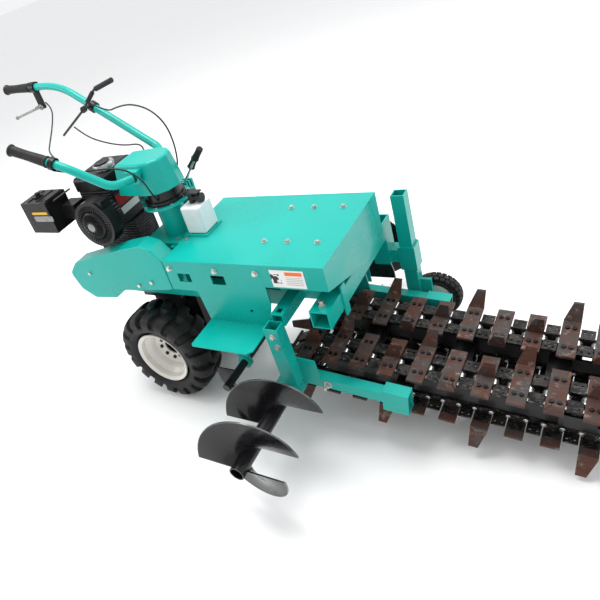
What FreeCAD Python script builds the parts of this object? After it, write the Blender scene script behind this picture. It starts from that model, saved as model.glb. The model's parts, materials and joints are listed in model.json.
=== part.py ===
import FreeCAD, Part
import math
import os
import re
import Sketcher
from FreeCAD import Placement, Rotation, Vector

# Walk-behind trencher: two-wheel power unit, twin digging chains on a boom,
# spoil augers on cross shafts and a height-adjustable gauge wheel.
# Working axes: X from the handlebar to the boom tip, Y to the off side, Z up.
# Every piece is drawn from the wheel axle's centre on the ground and then moved
# back by origin_ahead, so that the origin is below the middle of the machine.

SIZES = {
    "origin_ahead": 346.91,
    "half_track": 243.0,
    "tyre_radius": 205.0,
    "tyre_width": 158.0,
    "rim_radius": 116.5,
    "rim_width": 140.0,
    "axle_radius": 16.0,
    "hood_rear": 191.0,
    "hood_length": 594.0,
    "hood_half": 215.0,
    "hood_top": 664.0,
    "skirt_depth": 82.0,
    "sheet": 4.0,
    "flap_reach": 140.0,
    "rear_tube": 42.0,
    "front_tube": 60.0,
    "tube_half": 252.0,
    "rear_tube_ahead": 588.0,
    "front_tube_ahead": 719.0,
    "tube_wall": 4.0,
    "cover_depth": 70.0,
    "column_ahead": 115.0,
    "column_radius": 50.0,
    "flange_radius": 92.0,
    "flange_level": 790.0,
    "head_ahead": 586.2,
    "head_level": 219.4,
    "head_radius": 20.0,
    "auger_radius": 150.0,
    "auger_tube": 24.0,
    "auger_end": 640.0,
    "blade_pitch": 180.0,
    "blade_thick": 5.0,
    "rear_shaft_ahead": 380.0,
    "rear_shaft_level": 232.0,
    "rear_blade_radius": 92.0,
    "rear_shaft_end": 345.0,
    "boom_dip": 5.7,
    "chain_pitch": 44.0,
    "chain_row": 110.5,
    "straight_links": 19.0,
    "sprocket_teeth": 6.0,
    "roller_radius": 12.0,
    "pin_radius": 6.0,
    "cutter_length": 165.0,
    "cutter_width": 46.0,
    "cutter_thick": 8.0,
    "tooth_rise": 52.0,
    "bar_depth": 52.0,
    "bar_width": 50.0,
    "arm_size": 36.0,
    "post_size": 45.0,
    "ring_radius": 46.0,
    "bar_radius": 15.0,
    "grip_radius": 18.0,
    "grip_length": 165.0,
    "gauge_radius": 85.0,
    "gauge_width": 52.0,
    "gauge_post": 44.0,
    "gauge_ahead": 832.0,
    "gauge_side": 285.0,
    "cable_radius": 3.0,
}

doc = FreeCAD.newDocument("Trencher")
sheet = doc.addObject("Spreadsheet::Sheet", "Sizes")
for row, name in enumerate(SIZES, start=1):
    sheet.set("A%d" % row, name)
    sheet.set("B%d" % row, str(SIZES[name]))
    sheet.setAlias("B%d" % row, name)
doc.recompute()

PIECES = []


def linked(text):
    """The formula with every cell name written as a reference to the sheet."""
    def mend(match):
        word = match.group(0)
        return "Sizes." + word if word in SIZES else word
    return re.sub(r"[a-z]+[a-z_]*", mend, str(text))


def size(text):
    """The number that a formula gives with the sheet's present values."""
    return float(sheet.evalExpression(linked(text)))


def bind(thing, prop, text):
    thing.setExpression(prop, linked(text))


def place(thing, label, ahead="-origin_ahead", side="0", level="0", dip=None):
    """Name a finished piece and move it from the drawing origin to its place."""
    if thing.TypeId in ("Part::Box", "Part::Cylinder", "Part::Cone"):
        holder = doc.addObject("Part::Compound", "Holder")
        holder.Links = [thing]
        thing = holder
    thing.Label = label
    turn = Rotation(Vector(0, 1, 0), size(dip)) if dip else Rotation()
    thing.Placement = Placement(Vector(size(ahead), size(side), size(level)), turn)
    bind(thing, "Placement.Base.x", ahead)
    bind(thing, "Placement.Base.y", side)
    bind(thing, "Placement.Base.z", level)
    if dip:
        bind(thing, "Placement.Rotation.Angle", dip)
    PIECES.append(thing)
    return thing


def on_boom(thing, label):
    """Place a piece that is drawn along the boom, from the head shaft's centre."""
    return place(thing, label, "head_ahead - origin_ahead", "0", "head_level", "boom_dip")


def box(low, high):
    """A Part::Box between two corners given as formulas."""
    brick = doc.addObject("Part::Box", "Block")
    for prop, axis in (("Length", 0), ("Width", 1), ("Height", 2)):
        bind(brick, prop, "(%s) - (%s)" % (high[axis], low[axis]))
    for axis, letter in enumerate("xyz"):
        bind(brick, "Placement.Base." + letter, low[axis])
    return brick


TURNS = {
    "X": Rotation(Vector(0, 1, 0), 90),
    "Y": Rotation(Vector(1, 0, 0), -90),
    "Z": Rotation(),
}


def rod(axis, start, radius, length):
    """A Part::Cylinder that runs along +X, +Y or +Z from its start point."""
    bar = doc.addObject("Part::Cylinder", "Rod")
    bar.Placement = Placement(Vector(*[size(text) for text in start]), TURNS[axis])
    bind(bar, "Radius", radius)
    bind(bar, "Height", length)
    for index, letter in enumerate("xyz"):
        bind(bar, "Placement.Base." + letter, start[index])
    return bar




def fuse(things):
    joined = doc.addObject("Part::MultiFuse", "Joined")
    joined.Shapes = things
    return joined


def cut(base, tools):
    """The base with every tool taken away."""
    for tool in tools:
        less = doc.addObject("Part::Cut", "Less")
        less.Base = base
        less.Tool = tool
        base = less
    return base


def square_tube(low, high, axis, wall="tube_wall"):
    """A rectangular tube, open at both ends of its axis (0, 1 or 2)."""
    inner_low = ["(%s) + %s" % (text, wall) for text in low]
    inner_high = ["(%s) - %s" % (text, wall) for text in high]
    inner_low[axis] = "(%s) - 1" % low[axis]
    inner_high[axis] = "(%s) + 1" % high[axis]
    return cut(box(low, high), [box(inner_low, inner_high)])


def origin_plane(body, role):
    for feature in body.Origin.OriginFeatures:
        if feature.Role == role:
            return feature
    raise ValueError(role)


def new_sketch(body, role, offset="0"):
    """A sketch on one of the body's own planes, moved along its normal."""
    sketch = body.newObject("Sketcher::SketchObject", "Outline")
    sketch.AttachmentSupport = [(origin_plane(body, role), "")]
    sketch.MapMode = "FlatFace"
    sketch.AttachmentOffset = Placement(Vector(0, 0, size(offset)), Rotation())
    bind(sketch, "AttachmentOffset.Base.z", offset)
    return sketch


def draw_loop(sketch, corners):
    """A closed outline of straight lines whose corners are held to formulas."""
    points = [Vector(size(across), size(up), 0) for across, up in corners]
    first = sketch.GeometryCount
    total = len(points)
    for index in range(total):
        line = Part.LineSegment(points[index], points[(index + 1) % total])
        sketch.addGeometry(line, False)
    for index in range(total):
        follower = first + (index + 1) % total
        sketch.addConstraint(Sketcher.Constraint("Coincident", first + index, 2, follower, 1))
    for index, (across, up) in enumerate(corners):
        for kind, text, number in (("DistanceX", across, points[index].x),
                                   ("DistanceY", up, points[index].y)):
            fixed = sketch.addConstraint(
                Sketcher.Constraint(kind, -1, 1, first + index, 1, number))
            bind(sketch, "Constraints[%d]" % fixed, text)


def draw_circle(sketch, across, up, radius):
    centre = Vector(size(across), size(up), 0)
    ring = sketch.addGeometry(Part.Circle(centre, Vector(0, 0, 1), size(radius)), False)
    for kind, text, number in (("DistanceX", across, centre.x), ("DistanceY", up, centre.y)):
        fixed = sketch.addConstraint(Sketcher.Constraint(kind, -1, 1, ring, 3, number))
        bind(sketch, "Constraints[%d]" % fixed, text)
    fixed = sketch.addConstraint(Sketcher.Constraint("Radius", ring, size(radius)))
    bind(sketch, "Constraints[%d]" % fixed, radius)


def rectangle(low_across, low_up, high_across, high_up):
    return [(low_across, low_up), (high_across, low_up),
            (high_across, high_up), (low_across, high_up)]


def pad(body, sketch, length, backwards=False):
    feature = body.newObject("PartDesign::Pad", "Pad")
    feature.Profile = sketch
    feature.Reversed = backwards
    bind(feature, "Length", length)
    doc.recompute()
    return feature


def pocket(body, sketch, length, backwards=False):
    """A pocket that must take something away from the body."""
    before = body.Shape.Volume
    feature = body.newObject("PartDesign::Pocket", "Pocket")
    feature.Profile = sketch
    feature.Reversed = backwards
    bind(feature, "Length", length)
    doc.recompute()
    if not body.Shape.Volume < before:
        raise ValueError("pocket cuts nothing in " + body.Name)
    return feature


def round_edges(body, radius, wanted):
    """Fillet the edges of the body's tip that the test picks out."""
    doc.recompute()
    tip = body.Tip
    names = ["Edge%d" % (index + 1) for index, edge in enumerate(tip.Shape.Edges) if wanted(edge)]
    feature = body.newObject("PartDesign::Fillet", "Round")
    feature.Base = (tip, names)
    bind(feature, "Radius", radius)
    doc.recompute()
    return feature


def new_body(name):
    return doc.addObject("PartDesign::Body", name)


def revolve_body(name, corners):
    """A body turned about the Y axis from a half section in the XY plane."""
    body = new_body(name)
    sketch = new_sketch(body, "XY_Plane")
    draw_loop(sketch, corners)
    turned = body.newObject("PartDesign::Revolution", "Turned")
    turned.Profile = sketch
    turned.ReferenceAxis = (sketch, ["V_Axis"])
    turned.Angle = 360
    doc.recompute()
    return body


def shaped(shape):
    """A Part::Feature that holds a ready shape, with the shape's own position inside it."""
    feature = doc.addObject("Part::Feature", "Shaped")
    feature.Shape = Part.makeCompound([shape])
    return feature


def bent_path(points, share=0.45):
    """Straight runs joined by tangent arcs as large as the runs allow."""
    knots = [Vector(*point) for point in points]
    shares = share if isinstance(share, tuple) else (share,) * (len(knots) - 2)
    edges = []
    here = knots[0]
    radii = []
    for before, corner, after, part in zip(knots, knots[1:], knots[2:], shares):
        back = before.sub(corner)
        ahead = after.sub(corner)
        turn = math.pi - back.getAngle(ahead)
        trim = part * min(back.Length, ahead.Length)
        radii.append(trim / math.tan(turn / 2.0))
        back.normalize()
        ahead.normalize()
        arc_start = corner.add(back.multiply(trim))
        arc_end = corner.add(Vector(ahead).multiply(trim))
        middle = arc_start.add(arc_end).multiply(0.5)
        toward = corner.sub(middle)
        rise = toward.Length
        toward.normalize()
        swing = radii[-1] * (1.0 - math.cos(turn / 2.0))
        arc_middle = middle.add(toward.multiply(min(swing, rise)))
        edges.append(Part.LineSegment(here, arc_start).toShape())
        edges.append(Part.Arc(arc_start, arc_middle, arc_end).toShape())
        here = arc_end
    edges.append(Part.LineSegment(here, knots[-1]).toShape())
    return Part.Wire(edges), radii


def bent_rod(points, radius, share=0.45):
    """A round bar swept along a bent path."""
    path, radii = bent_path(points, share)
    start = Vector(*points[0])
    ahead = Vector(*points[1]).sub(start)
    section = Part.Wire([Part.Circle(start, ahead, radius).toShape()])
    solid = path.makePipeShell([section], True, True)
    expected = math.pi * radius * radius * path.Length
    if abs(solid.Volume - expected) > 0.02 * expected:
        raise ValueError("bent rod volume")
    if radii:
        print("smallest bend", round(min(radii), 1), "of", len(radii))
    return solid


def rod_between(start, end, radius):
    start = Vector(*start)
    end = Vector(*end)
    along = end.sub(start)
    return Part.makeCylinder(radius, along.Length, start, along)


def hexagon(centre, axis, flats, height):
    """A hexagonal bolt head, its axis along the given direction."""
    prism = Part.Face(Part.makePolygon([
        Vector(flats / math.sqrt(3) * math.cos(math.radians(60 * corner)),
               flats / math.sqrt(3) * math.sin(math.radians(60 * corner)), 0)
        for corner in range(7)])).extrude(Vector(0, 0, height))
    prism.Placement = Placement(Vector(*centre), Rotation(Vector(0, 0, 1), Vector(*axis)))
    return prism


# ---------------------------------------------------------------- drive wheels
SIDES = {"near": -1, "far": 1}


def rim_corners():
    """Half section of a dished steel rim, outboard side at positive Y."""
    radius = "rim_radius"
    return [
        ("%s - 2" % radius, "0"), (radius, "-4"), ("%s - 9" % radius, "-12"),
        ("%s - 12" % radius, "-30"), ("%s - 26" % radius, "-44"),
        ("%s - 26" % radius, "-rim_width + 34"), ("%s - 12" % radius, "-rim_width + 16"),
        ("%s - 2" % radius, "-rim_width"), ("%s - 8" % radius, "-rim_width"),
        ("%s - 17" % radius, "-rim_width + 18"), ("%s - 31" % radius, "-rim_width + 36"),
        ("%s - 31" % radius, "-74"), ("axle_radius + 18", "-78"), ("axle_radius + 18", "-72"),
        ("%s - 40" % radius, "-66"), ("%s - 31" % radius, "-46"), ("%s - 17" % radius, "-28"),
        ("%s - 14" % radius, "-8"),
    ]


def tyre_corners():
    """Half section of the carcass: bead, bulging side walls and a flat tread."""
    outer = "tyre_radius - 18"
    edge = "tyre_width / 2"
    middle = "rim_width / 2"
    bead = "rim_radius - 8.5"
    return [
        (bead, "-%s + %s" % (middle, "rim_width / 2 - 13")),
        ("rim_radius + 4", "-2"), ("rim_radius + 30", "-%s + %s" % (middle, edge)),
        ("%s - 22" % outer, "-%s + %s" % (middle, edge)),
        ("%s - 5" % outer, "-%s + %s - 14" % (middle, edge)), (outer, "-%s + 30" % middle),
        (outer, "-%s - 30" % middle), ("%s - 5" % outer, "-%s - %s + 14" % (middle, edge)),
        ("%s - 22" % outer, "-%s - %s" % (middle, edge)),
        ("rim_radius + 30", "-%s - %s" % (middle, edge)),
        ("rim_radius + 4", "-rim_width + 2"), (bead, "-rim_width + 13"),
        ("rim_radius - 11.5", "-rim_width + 30"), ("rim_radius - 11.5", "-30"),
    ]


def tread_lugs():
    """Two rows of slanted bars that meet at the middle of the tread."""
    outer = size("tyre_radius")
    base = outer - 22.0
    reach = size("tyre_width") / 2.0
    middle = -size("rim_width") / 2.0
    lugs = []
    count = 16
    for row in (-1, 1):
        for index in range(count):
            angle = 360.0 * (index + (0.25 if row > 0 else -0.25)) / count
            bar = Part.makeBox(22.0, reach + 1.0, outer - base, Vector(-11.0, 0.0, base))
            bar.rotate(Vector(0, 0, base), Vector(0, 0, 1), 24.0 * row)
            if row < 0:
                bar = bar.mirror(Vector(0, 0, 0), Vector(0, 1, 0))
            bar.translate(Vector(0, middle, 0))
            bar.rotate(Vector(0, 0, 0), Vector(0, 1, 0), angle)
            lugs.append(bar)
    limit = Part.makeCylinder(outer, 2.0 * reach, Vector(0, middle - reach, 0), Vector(0, 1, 0))
    hollow = Part.makeCylinder(base, 2.0 * reach, Vector(0, middle - reach, 0), Vector(0, 1, 0))
    return [lug.common(limit).cut(hollow) for lug in lugs]


def on_wheel(thing, name, side):
    """Put a wheel piece, drawn with its outboard face at Y = 0, on the axle."""
    way = 1 if side > 0 else -1
    thing.Label = name
    turn = Rotation() if side > 0 else Rotation(Vector(0, 0, 1), 180)
    thing.Placement = Placement(Vector(0, 0, 0), turn)
    bind(thing, "Placement.Base.x", "-origin_ahead")
    bind(thing, "Placement.Base.y", "%d * half_track" % way)
    bind(thing, "Placement.Base.z", "tyre_radius")
    PIECES.append(thing)


for side_name, side in SIDES.items():
    on_wheel(revolve_body("Rim", rim_corners()), "rim_" + side_name, side)
    carcass = revolve_body("Tyre", tyre_corners())
    tyre_shape = carcass.Shape.fuse(tread_lugs()).removeSplitter()
    doc.removeObject(carcass.Name)
    on_wheel(shaped(tyre_shape), "tyre_" + side_name, side)
    hub = revolve_body("Hub", [
        ("0", "-76 - 40"), ("axle_radius + 17.5", "-116"), ("axle_radius + 17.5", "-78.2"),
        ("axle_radius + 46", "-78.2"), ("axle_radius + 46", "-86"), ("axle_radius + 20", "-86"),
        ("axle_radius + 20", "-124"), ("0", "-124")])
    on_wheel(hub, "hub_" + side_name, side)
    bolt_ring = 48.0
    bolts = [hexagon((bolt_ring * math.cos(math.radians(45 * spot)), -69.0,
                      bolt_ring * math.sin(math.radians(45 * spot))), (0, 1, 0), 13.0, 7.0)
             for spot in range(8)]
    on_wheel(shaped(Part.makeCompound(bolts)), "wheel_bolts_" + side_name, side)

place(rod("Y", ("0", "-half_track + 124", "tyre_radius"), "axle_radius", "2 * (half_track - 124)"),
      "drive_axle")

# ------------------------------------------------------- gearbox, rails, tubes
gear_case = fuse([
    box(("-105", "-52", "tyre_radius - 75"), ("115", "52", "tyre_radius + 225")),
    box(("-90", "-110", "tyre_radius + 209"), ("100", "110", "tyre_radius + 225")),
    rod("Y", ("0", "-52 - 60", "tyre_radius"), "axle_radius + 22", "104 + 120"),
    rod("Y", ("0", "-58", "tyre_radius"), "88", "116"),
    rod("Y", ("0", "-58", "tyre_radius + 180"), "70", "116"),
])
place(cut(gear_case, [rod("Y", ("0", "-300", "tyre_radius"), "axle_radius + 0.05", "600")]),
      "gearbox")

rail_low = "tyre_radius + 225.3"
rail_high = "hood_top - skirt_depth - 56"
for side_name, side in SIDES.items():
    inner, outer = ("-110", "-70") if side < 0 else ("70", "110")
    place(fuse([
        box(("-300", inner, rail_low), ("rear_tube_ahead - 0.3", outer, "%s + 60" % rail_low)),
        box(("rear_tube_ahead - 40", inner, "%s + 60" % rail_low),
            ("rear_tube_ahead - 0.3", outer, "hood_top - sheet - 0.2")),
        box(("hood_rear + 6", inner, "%s + 60" % rail_low),
            ("hood_rear + 46", outer, "hood_top - sheet - 0.2")),
        box(("rear_tube_ahead + rear_tube + 0.3", inner, "hood_top - skirt_depth - 116"),
            ("front_tube_ahead - 0.3", outer, "hood_top - skirt_depth - 56")),
    ]), "rail_" + side_name)
place(box(("-300", "-69.7", rail_low), ("-255", "69.7", "%s + 40" % rail_low)), "rail_tie")

rear_low = "hood_top - 199"
rear_tube = square_tube(
    ("rear_tube_ahead", "-tube_half", rear_low),
    ("rear_tube_ahead + rear_tube", "tube_half", "%s + rear_tube" % rear_low), 1)
place(cut(rear_tube, [box(("rear_tube_ahead + 12", "-tube_half + 12", "%s + 30" % rear_low),
                          ("rear_tube_ahead + 30", "-tube_half + 34", "hood_top"))]),
      "cross_tube_rear")
front_low = "hood_top - 198"
place(square_tube(
    ("front_tube_ahead", "-tube_half + 8", front_low),
    ("front_tube_ahead + front_tube", "tube_half - 8", "%s + front_tube" % front_low), 1),
    "cross_tube_front")
nut_top = "%s + front_tube" % front_low
clamp_bolts = []
for side in (-1, 1):
    spot = "%d * (tube_half - 38)" % side
    clamp_bolts += [
        rod("Z", ("front_tube_ahead + front_tube / 2", spot, "%s + 0.1" % nut_top), "11", "10"),
        rod("Z", ("front_tube_ahead + front_tube / 2", spot, "%s + 10.1" % nut_top), "7", "12"),
    ]
place(fuse(clamp_bolts), "tube_clamp_bolts")

# ------------------------------------------------------------------ hood sheet
hood = new_body("Hood")
top_face = new_sketch(hood, "XY_Plane", "hood_top - sheet")
draw_loop(top_face, rectangle("hood_rear", "-hood_half", "hood_rear + hood_length", "hood_half"))
pad(hood, top_face, "sheet")
for side in (-1, 1):
    skirt = new_sketch(hood, "XZ_Plane", "%d * hood_half - %s" % (-side, "0" if side > 0 else "sheet"))
    far_edge = "hood_top - skirt_depth"
    draw_loop(skirt, [
        ("hood_rear", "hood_top - 1"), ("hood_rear", far_edge),
        ("hood_rear + hood_length", far_edge), ("hood_rear + hood_length", "hood_top - 1")])
    pad(hood, skirt, "sheet", False)
front = new_sketch(hood, "YZ_Plane", "hood_rear + hood_length - sheet")
draw_loop(front, [
    ("-hood_half", "hood_top - 1"), ("-hood_half", "hood_top - skirt_depth"),
    ("hood_half * 0.23", "hood_top - 2 * skirt_depth"), ("hood_half", "hood_top - 2 * skirt_depth + 14"),
    ("hood_half", "hood_top - 1")])
pad(hood, front, "sheet")
side_cuts = new_sketch(hood, "XZ_Plane", "hood_half + 2")
draw_loop(side_cuts, rectangle("hood_rear - 1", "hood_top - skirt_depth - 1",
                               "hood_rear + hood_length * 0.645", "hood_top - sheet - 6"))
pocket(hood, side_cuts, "2 * hood_half + 4")
place(hood, "hood")

hood_bolts = []
for spot_ahead, spot_side in ((0.57, 0.57), (0.71, 0.57), (0.88, 0.57),
                              (0.57, -0.4), (0.71, -0.4), (0.88, -0.4), (0.03, -0.37)):
    centre = Vector(size("hood_rear + hood_length * %f" % spot_ahead),
                    size("hood_half * %f" % spot_side), size("hood_top") + 0.1)
    hood_bolts.append(Part.makeCylinder(10.0, 1.6, centre))
    hood_bolts.append(hexagon(centre.add(Vector(0, 0, 1.7)), (0, 0, 1), 13.0, 7.0))
place(shaped(Part.makeCompound(hood_bolts)), "hood_bolts")

plate_top = "hood_top - sheet - 6.2"
flap_fold = "hood_top - 241"
plate_front = "hood_rear + hood_length * 0.645 - 0.3"
for side_name, side in SIDES.items():
    panel = new_body("Panel")
    face_at = "hood_half" if side < 0 else "-hood_half - sheet"
    profile = new_sketch(panel, "XZ_Plane", "%s - sheet" % face_at if side < 0 else "%s + sheet" % face_at)
    draw_loop(profile, [
        ("hood_rear", plate_top), ("hood_rear", "hood_top - 120"),
        ("hood_rear + 100", "hood_top - 120"), ("hood_rear + 107", "hood_top - 130"),
        ("hood_rear + 118", flap_fold), ("%s - 29" % plate_front, flap_fold),
        (plate_front, "hood_top - 150"), (plate_front, plate_top)])
    pad(panel, profile, "sheet", False)
    windows = new_sketch(panel, "XZ_Plane", "hood_half + 40" if side < 0 else "-hood_half + 40")
    draw_loop(windows, rectangle("hood_rear + 45", "hood_top - 84", "hood_rear + 99", "hood_top - 50"))
    draw_loop(windows, rectangle("hood_rear + 184", "hood_top - 86", "hood_rear + 238", "hood_top - 50"))
    draw_circle(windows, "hood_rear + 301", "hood_top - 184", "6")
    pocket(panel, windows, "80")
    flap = new_sketch(panel, "XY_Plane", "%s + 0.5" % flap_fold)
    way = "1" if side > 0 else "-1"
    near_edge = "%s * (hood_half - sheet)" % way
    far_edge = "%s * (hood_half + flap_reach)" % way
    draw_loop(flap, [
        ("hood_rear + 118", near_edge), ("%s - 29" % plate_front, near_edge),
        ("%s - 29" % plate_front, "%s * (hood_half + flap_reach - 16)" % way),
        ("%s - 45" % plate_front, far_edge), ("hood_rear + 126", far_edge),
        ("hood_rear + 118", "%s * (hood_half + flap_reach - 8)" % way)])
    pad(panel, flap, "sheet", True)
    place(panel, "side_plate_" + side_name)

side_bolts = []
for side in (-1, 1):
    for spot in (20.0, 209.0, 362.0):
        centre = Vector(size("hood_rear") + spot, side * (size("hood_half") + 0.1),
                        size("hood_top") - 31.0)
        side_bolts.append(Part.makeCylinder(10.0, 1.6, centre, Vector(0, side, 0)))
        side_bolts.append(hexagon(centre.add(Vector(0, side * 1.7, 0)), (0, side, 0), 13.0, 7.0))
place(shaped(Part.makeCompound(side_bolts)), "side_bolts")
place(box(("hood_rear + 416", "-hood_half - 1.3", "hood_top - 76"),
          ("hood_rear + 528", "-hood_half - 0.1", "hood_top - 14")), "notice_plate")

# ------------------------------------------------------------ drive belt cover
cover = new_body("Cover")
cover_outline = new_sketch(cover, "XZ_Plane", "hood_half - cover_depth")
draw_loop(cover_outline, [
    ("hood_rear - 5", "hood_top - 6"), ("hood_rear - 5", "hood_top - 124"),
    ("hood_rear - 30", "hood_top - 130"), ("hood_rear - 252", "hood_top - 148"),
    ("hood_rear - 318", "hood_top - 190"), ("hood_rear - 440", "hood_top - 200"),
    ("hood_rear - 500", "hood_top - 160"), ("hood_rear - 524", "hood_top - 84"),
    ("hood_rear - 470", "hood_top - 34"), ("hood_rear - 170", "hood_top + 40"),
    ("hood_rear - 90", "hood_top + 54"), ("hood_rear - 40", "hood_top + 40")])
pad(cover, cover_outline, "cover_depth")
round_edges(cover, "28", lambda edge: abs(edge.Vertexes[0].Y - edge.Vertexes[-1].Y) > 20.0
            and edge.Vertexes[0].X < 60.0 and edge.Vertexes[0].Z != 0)
round_edges(cover, "4", lambda edge: max(vertex.Y for vertex in edge.Vertexes) < -size("hood_half") + 0.5)
place(cover, "belt_cover")
cover_bolts = []
for spot_back, spot_up in ((405.0, -77.0), (161.0, -117.0), (92.0, -98.0)):
    centre = (size("hood_rear") - spot_back, -size("hood_half") - 0.1, size("hood_top") + spot_up)
    cover_bolts.append(hexagon(centre, (0, -1, 0), 13.0, 6.0))
place(shaped(Part.makeCompound(cover_bolts)), "cover_bolts")
place(box(("hood_rear - 330", "-hood_half + cover_depth + 0.3", "hood_top - 170"),
          ("hood_rear - 60", "-110.3", "hood_top - 60")), "cover_mount")

# ----------------------------------------------------------------- swivel post
base_level = "hood_top - 16"
base_back = "column_ahead - 105"
base_front = "hood_rear - 6"
place(fuse([
    box((base_back, "-95", base_level), (base_front, "95", "%s + 8" % base_level)),
    box(("column_ahead - 60", "-109.7", "%s + 60" % rail_low), ("column_ahead - 40", "109.7", base_level)),
    box(("column_ahead + 30", "-109.7", "%s + 60" % rail_low), ("column_ahead + 50", "109.7", base_level)),
]), "column_base")
place(fuse([
    rod("Z", ("column_ahead", "0", "%s + 8.1" % base_level), "column_radius",
        "flange_level - (%s) - 16" % base_level),
    rod("Z", ("column_ahead", "0", "flange_level - 8"), "flange_radius", "8"),
    box(("column_ahead - flange_radius - 18", "-22", "flange_level - 8"),
        ("column_ahead - 40", "22", "flange_level")),
]), "column")
index_pins = []
for spot in range(9):
    angle = math.radians(-80 + 40 * spot)
    centre = Vector(size("column_ahead") + 84.0 * math.cos(angle), 84.0 * math.sin(angle),
                    size("flange_level") + 0.1)
    index_pins.append(hexagon(centre, (0, 0, 1), 9.0, 5.0))
for spot_back, spot_side in ((88.0, -75.0), (88.0, 75.0), (-52.0, -75.0), (-52.0, 75.0)):
    centre = Vector(size("column_ahead") - spot_back, spot_side, size("hood_top") - 7.9)
    index_pins.append(hexagon(centre, (0, 0, 1), 13.0, 8.0))
place(shaped(Part.makeCompound(index_pins)), "column_bolts")

# ------------------------------------------------------------- swivelling head
housing_low = "flange_level + 0.3"
place(fuse([
    rod("Z", ("column_ahead", "0", housing_low), "76", "14"),
    rod("Z", ("column_ahead", "0", "%s + 14" % housing_low), "68", "40"),
]), "swivel_housing")
cap = new_body("Cap")
cap_plan = new_sketch(cap, "XY_Plane", "flange_level + 54.6")
rear = "column_ahead - 145"
draw_loop(cap_plan, [
    (rear, "-72"), ("column_ahead - 10", "-86"), ("column_ahead + 38", "-78"),
    ("column_ahead + 72", "-48"), ("column_ahead + 88", "0"), ("column_ahead + 72", "48"),
    ("column_ahead + 38", "78"), ("column_ahead - 10", "86"), (rear, "72")])
cap_pad = pad(cap, cap_plan, "114")
cap_pad.TaperAngle = -8.0
doc.recompute()
round_edges(cap, "12", lambda edge: min(vertex.Z for vertex in edge.Vertexes)
            > size("flange_level") + 160.0)
place(cap, "head_cap")

# -------------------------------------------------------------- handlebar arms
bar = size("bar_radius")
column_ahead = size("column_ahead")
above = size("flange_level")
near_root = Vector(column_ahead - 20, -101, above + 132)
near_path = [near_root, Vector(column_ahead - 53, -172, above + 140), Vector(-60, -226, above + 252),
             Vector(-246, -241, above + 332)]
far_root = Vector(column_ahead - 40, 99, above + 122)
far_bend = Vector(-470, 249, above + 414)
far_path = [far_root, Vector(column_ahead - 85, 146, above + 138), far_bend, Vector(-640, 251, above + 427)]
near_dir = near_path[3].sub(near_path[2]).normalize()
far_dir = far_path[3].sub(far_path[2]).normalize()
near_end = near_path[3].add(Vector(near_dir).multiply(26.0))
place(shaped(bent_rod(near_path[:3] + [near_end], bar, (0.4, 0.18))), "arm_near")
far_end = far_path[3].add(Vector(far_dir).multiply(170.0))
place(shaped(bent_rod(far_path[:3] + [far_end], bar, 0.3)), "arm_far")


def grip_shape(start, direction):
    """Ribbed rubber grip with a flange at its outer end."""
    along = Vector(direction)
    radius = size("grip_radius")
    length = size("grip_length")
    body = Part.makeCylinder(radius, length, start, along)
    end = start.add(Vector(along).multiply(length - 6.0))
    body = body.fuse(Part.makeCylinder(radius + 5.0, 6.0, end, along))
    hollow_start = start.sub(along)
    body = body.cut(Part.makeCylinder(size("bar_radius") + 0.1, length - 4.0, hollow_start, along))
    return body.removeSplitter()


near_grip = near_end.sub(Vector(near_dir).multiply(size("grip_length") - 5.2))
place(shaped(grip_shape(near_grip, near_dir)), "grip_near")
far_grip = far_end.sub(Vector(far_dir).multiply(size("grip_length") - 5.2))
place(shaped(grip_shape(far_grip, far_dir)), "grip_far")

clamps = []
cap_solid = cap.Shape.copy()
cap_solid.translate(Vector(size("origin_ahead"), 0, 0))
for path, side in ((near_path, -1), (far_path, 1)):
    root = path[0]
    outer_face = side * (abs(root.y) - 2.0)
    low_y = min(outer_face, outer_face - side * 36.0)
    block = Part.makeBox(58.0, 36.0, 46.0, Vector(root.x - 34, low_y, root.z - 23))
    along = path[1].sub(root)
    start = root.sub(Vector(along).multiply(0.6))
    block = block.cut(rod_between(start, path[1], bar + 0.1))
    block = block.cut(cap_solid)
    clamps.append(max(block.Solids, key=lambda solid: solid.Volume))
place(shaped(Part.makeCompound(clamps)), "arm_roots")


def collar(centre, direction, radius, outer, length):
    """A clamp ring around a bar."""
    along = Vector(direction)
    start = Vector(centre).sub(Vector(along).multiply(length / 2.0))
    ring = Part.makeCylinder(outer, length, start, along)
    return ring.cut(Part.makeCylinder(radius + 0.1, length + 2.0, start.sub(along), along))


near_perch_at = near_grip.sub(Vector(near_dir).multiply(22.0))
far_perch_at = far_grip.sub(Vector(far_dir).multiply(26.0))
place(shaped(collar(near_perch_at, near_dir, bar, bar + 8.0, 20.0)), "perch_near")
perch = collar(far_perch_at, far_dir, bar, bar + 8.0, 26.0)
perch_drop = 72.0
perch_leg = Part.makeBox(30.0, 14.0, perch_drop + 5.0, far_perch_at.add(Vector(-17, -7,
        -bar - perch_drop - 9.0)))
perch = perch.fuse(perch_leg).removeSplitter()
perch = perch.cut(Part.makeCylinder(3.02, 30.0, far_perch_at.add(Vector(-2.0, -15.0, -bar - perch_drop)),
                                    Vector(0, 1, 0)))
place(shaped(perch), "perch_far")

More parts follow.
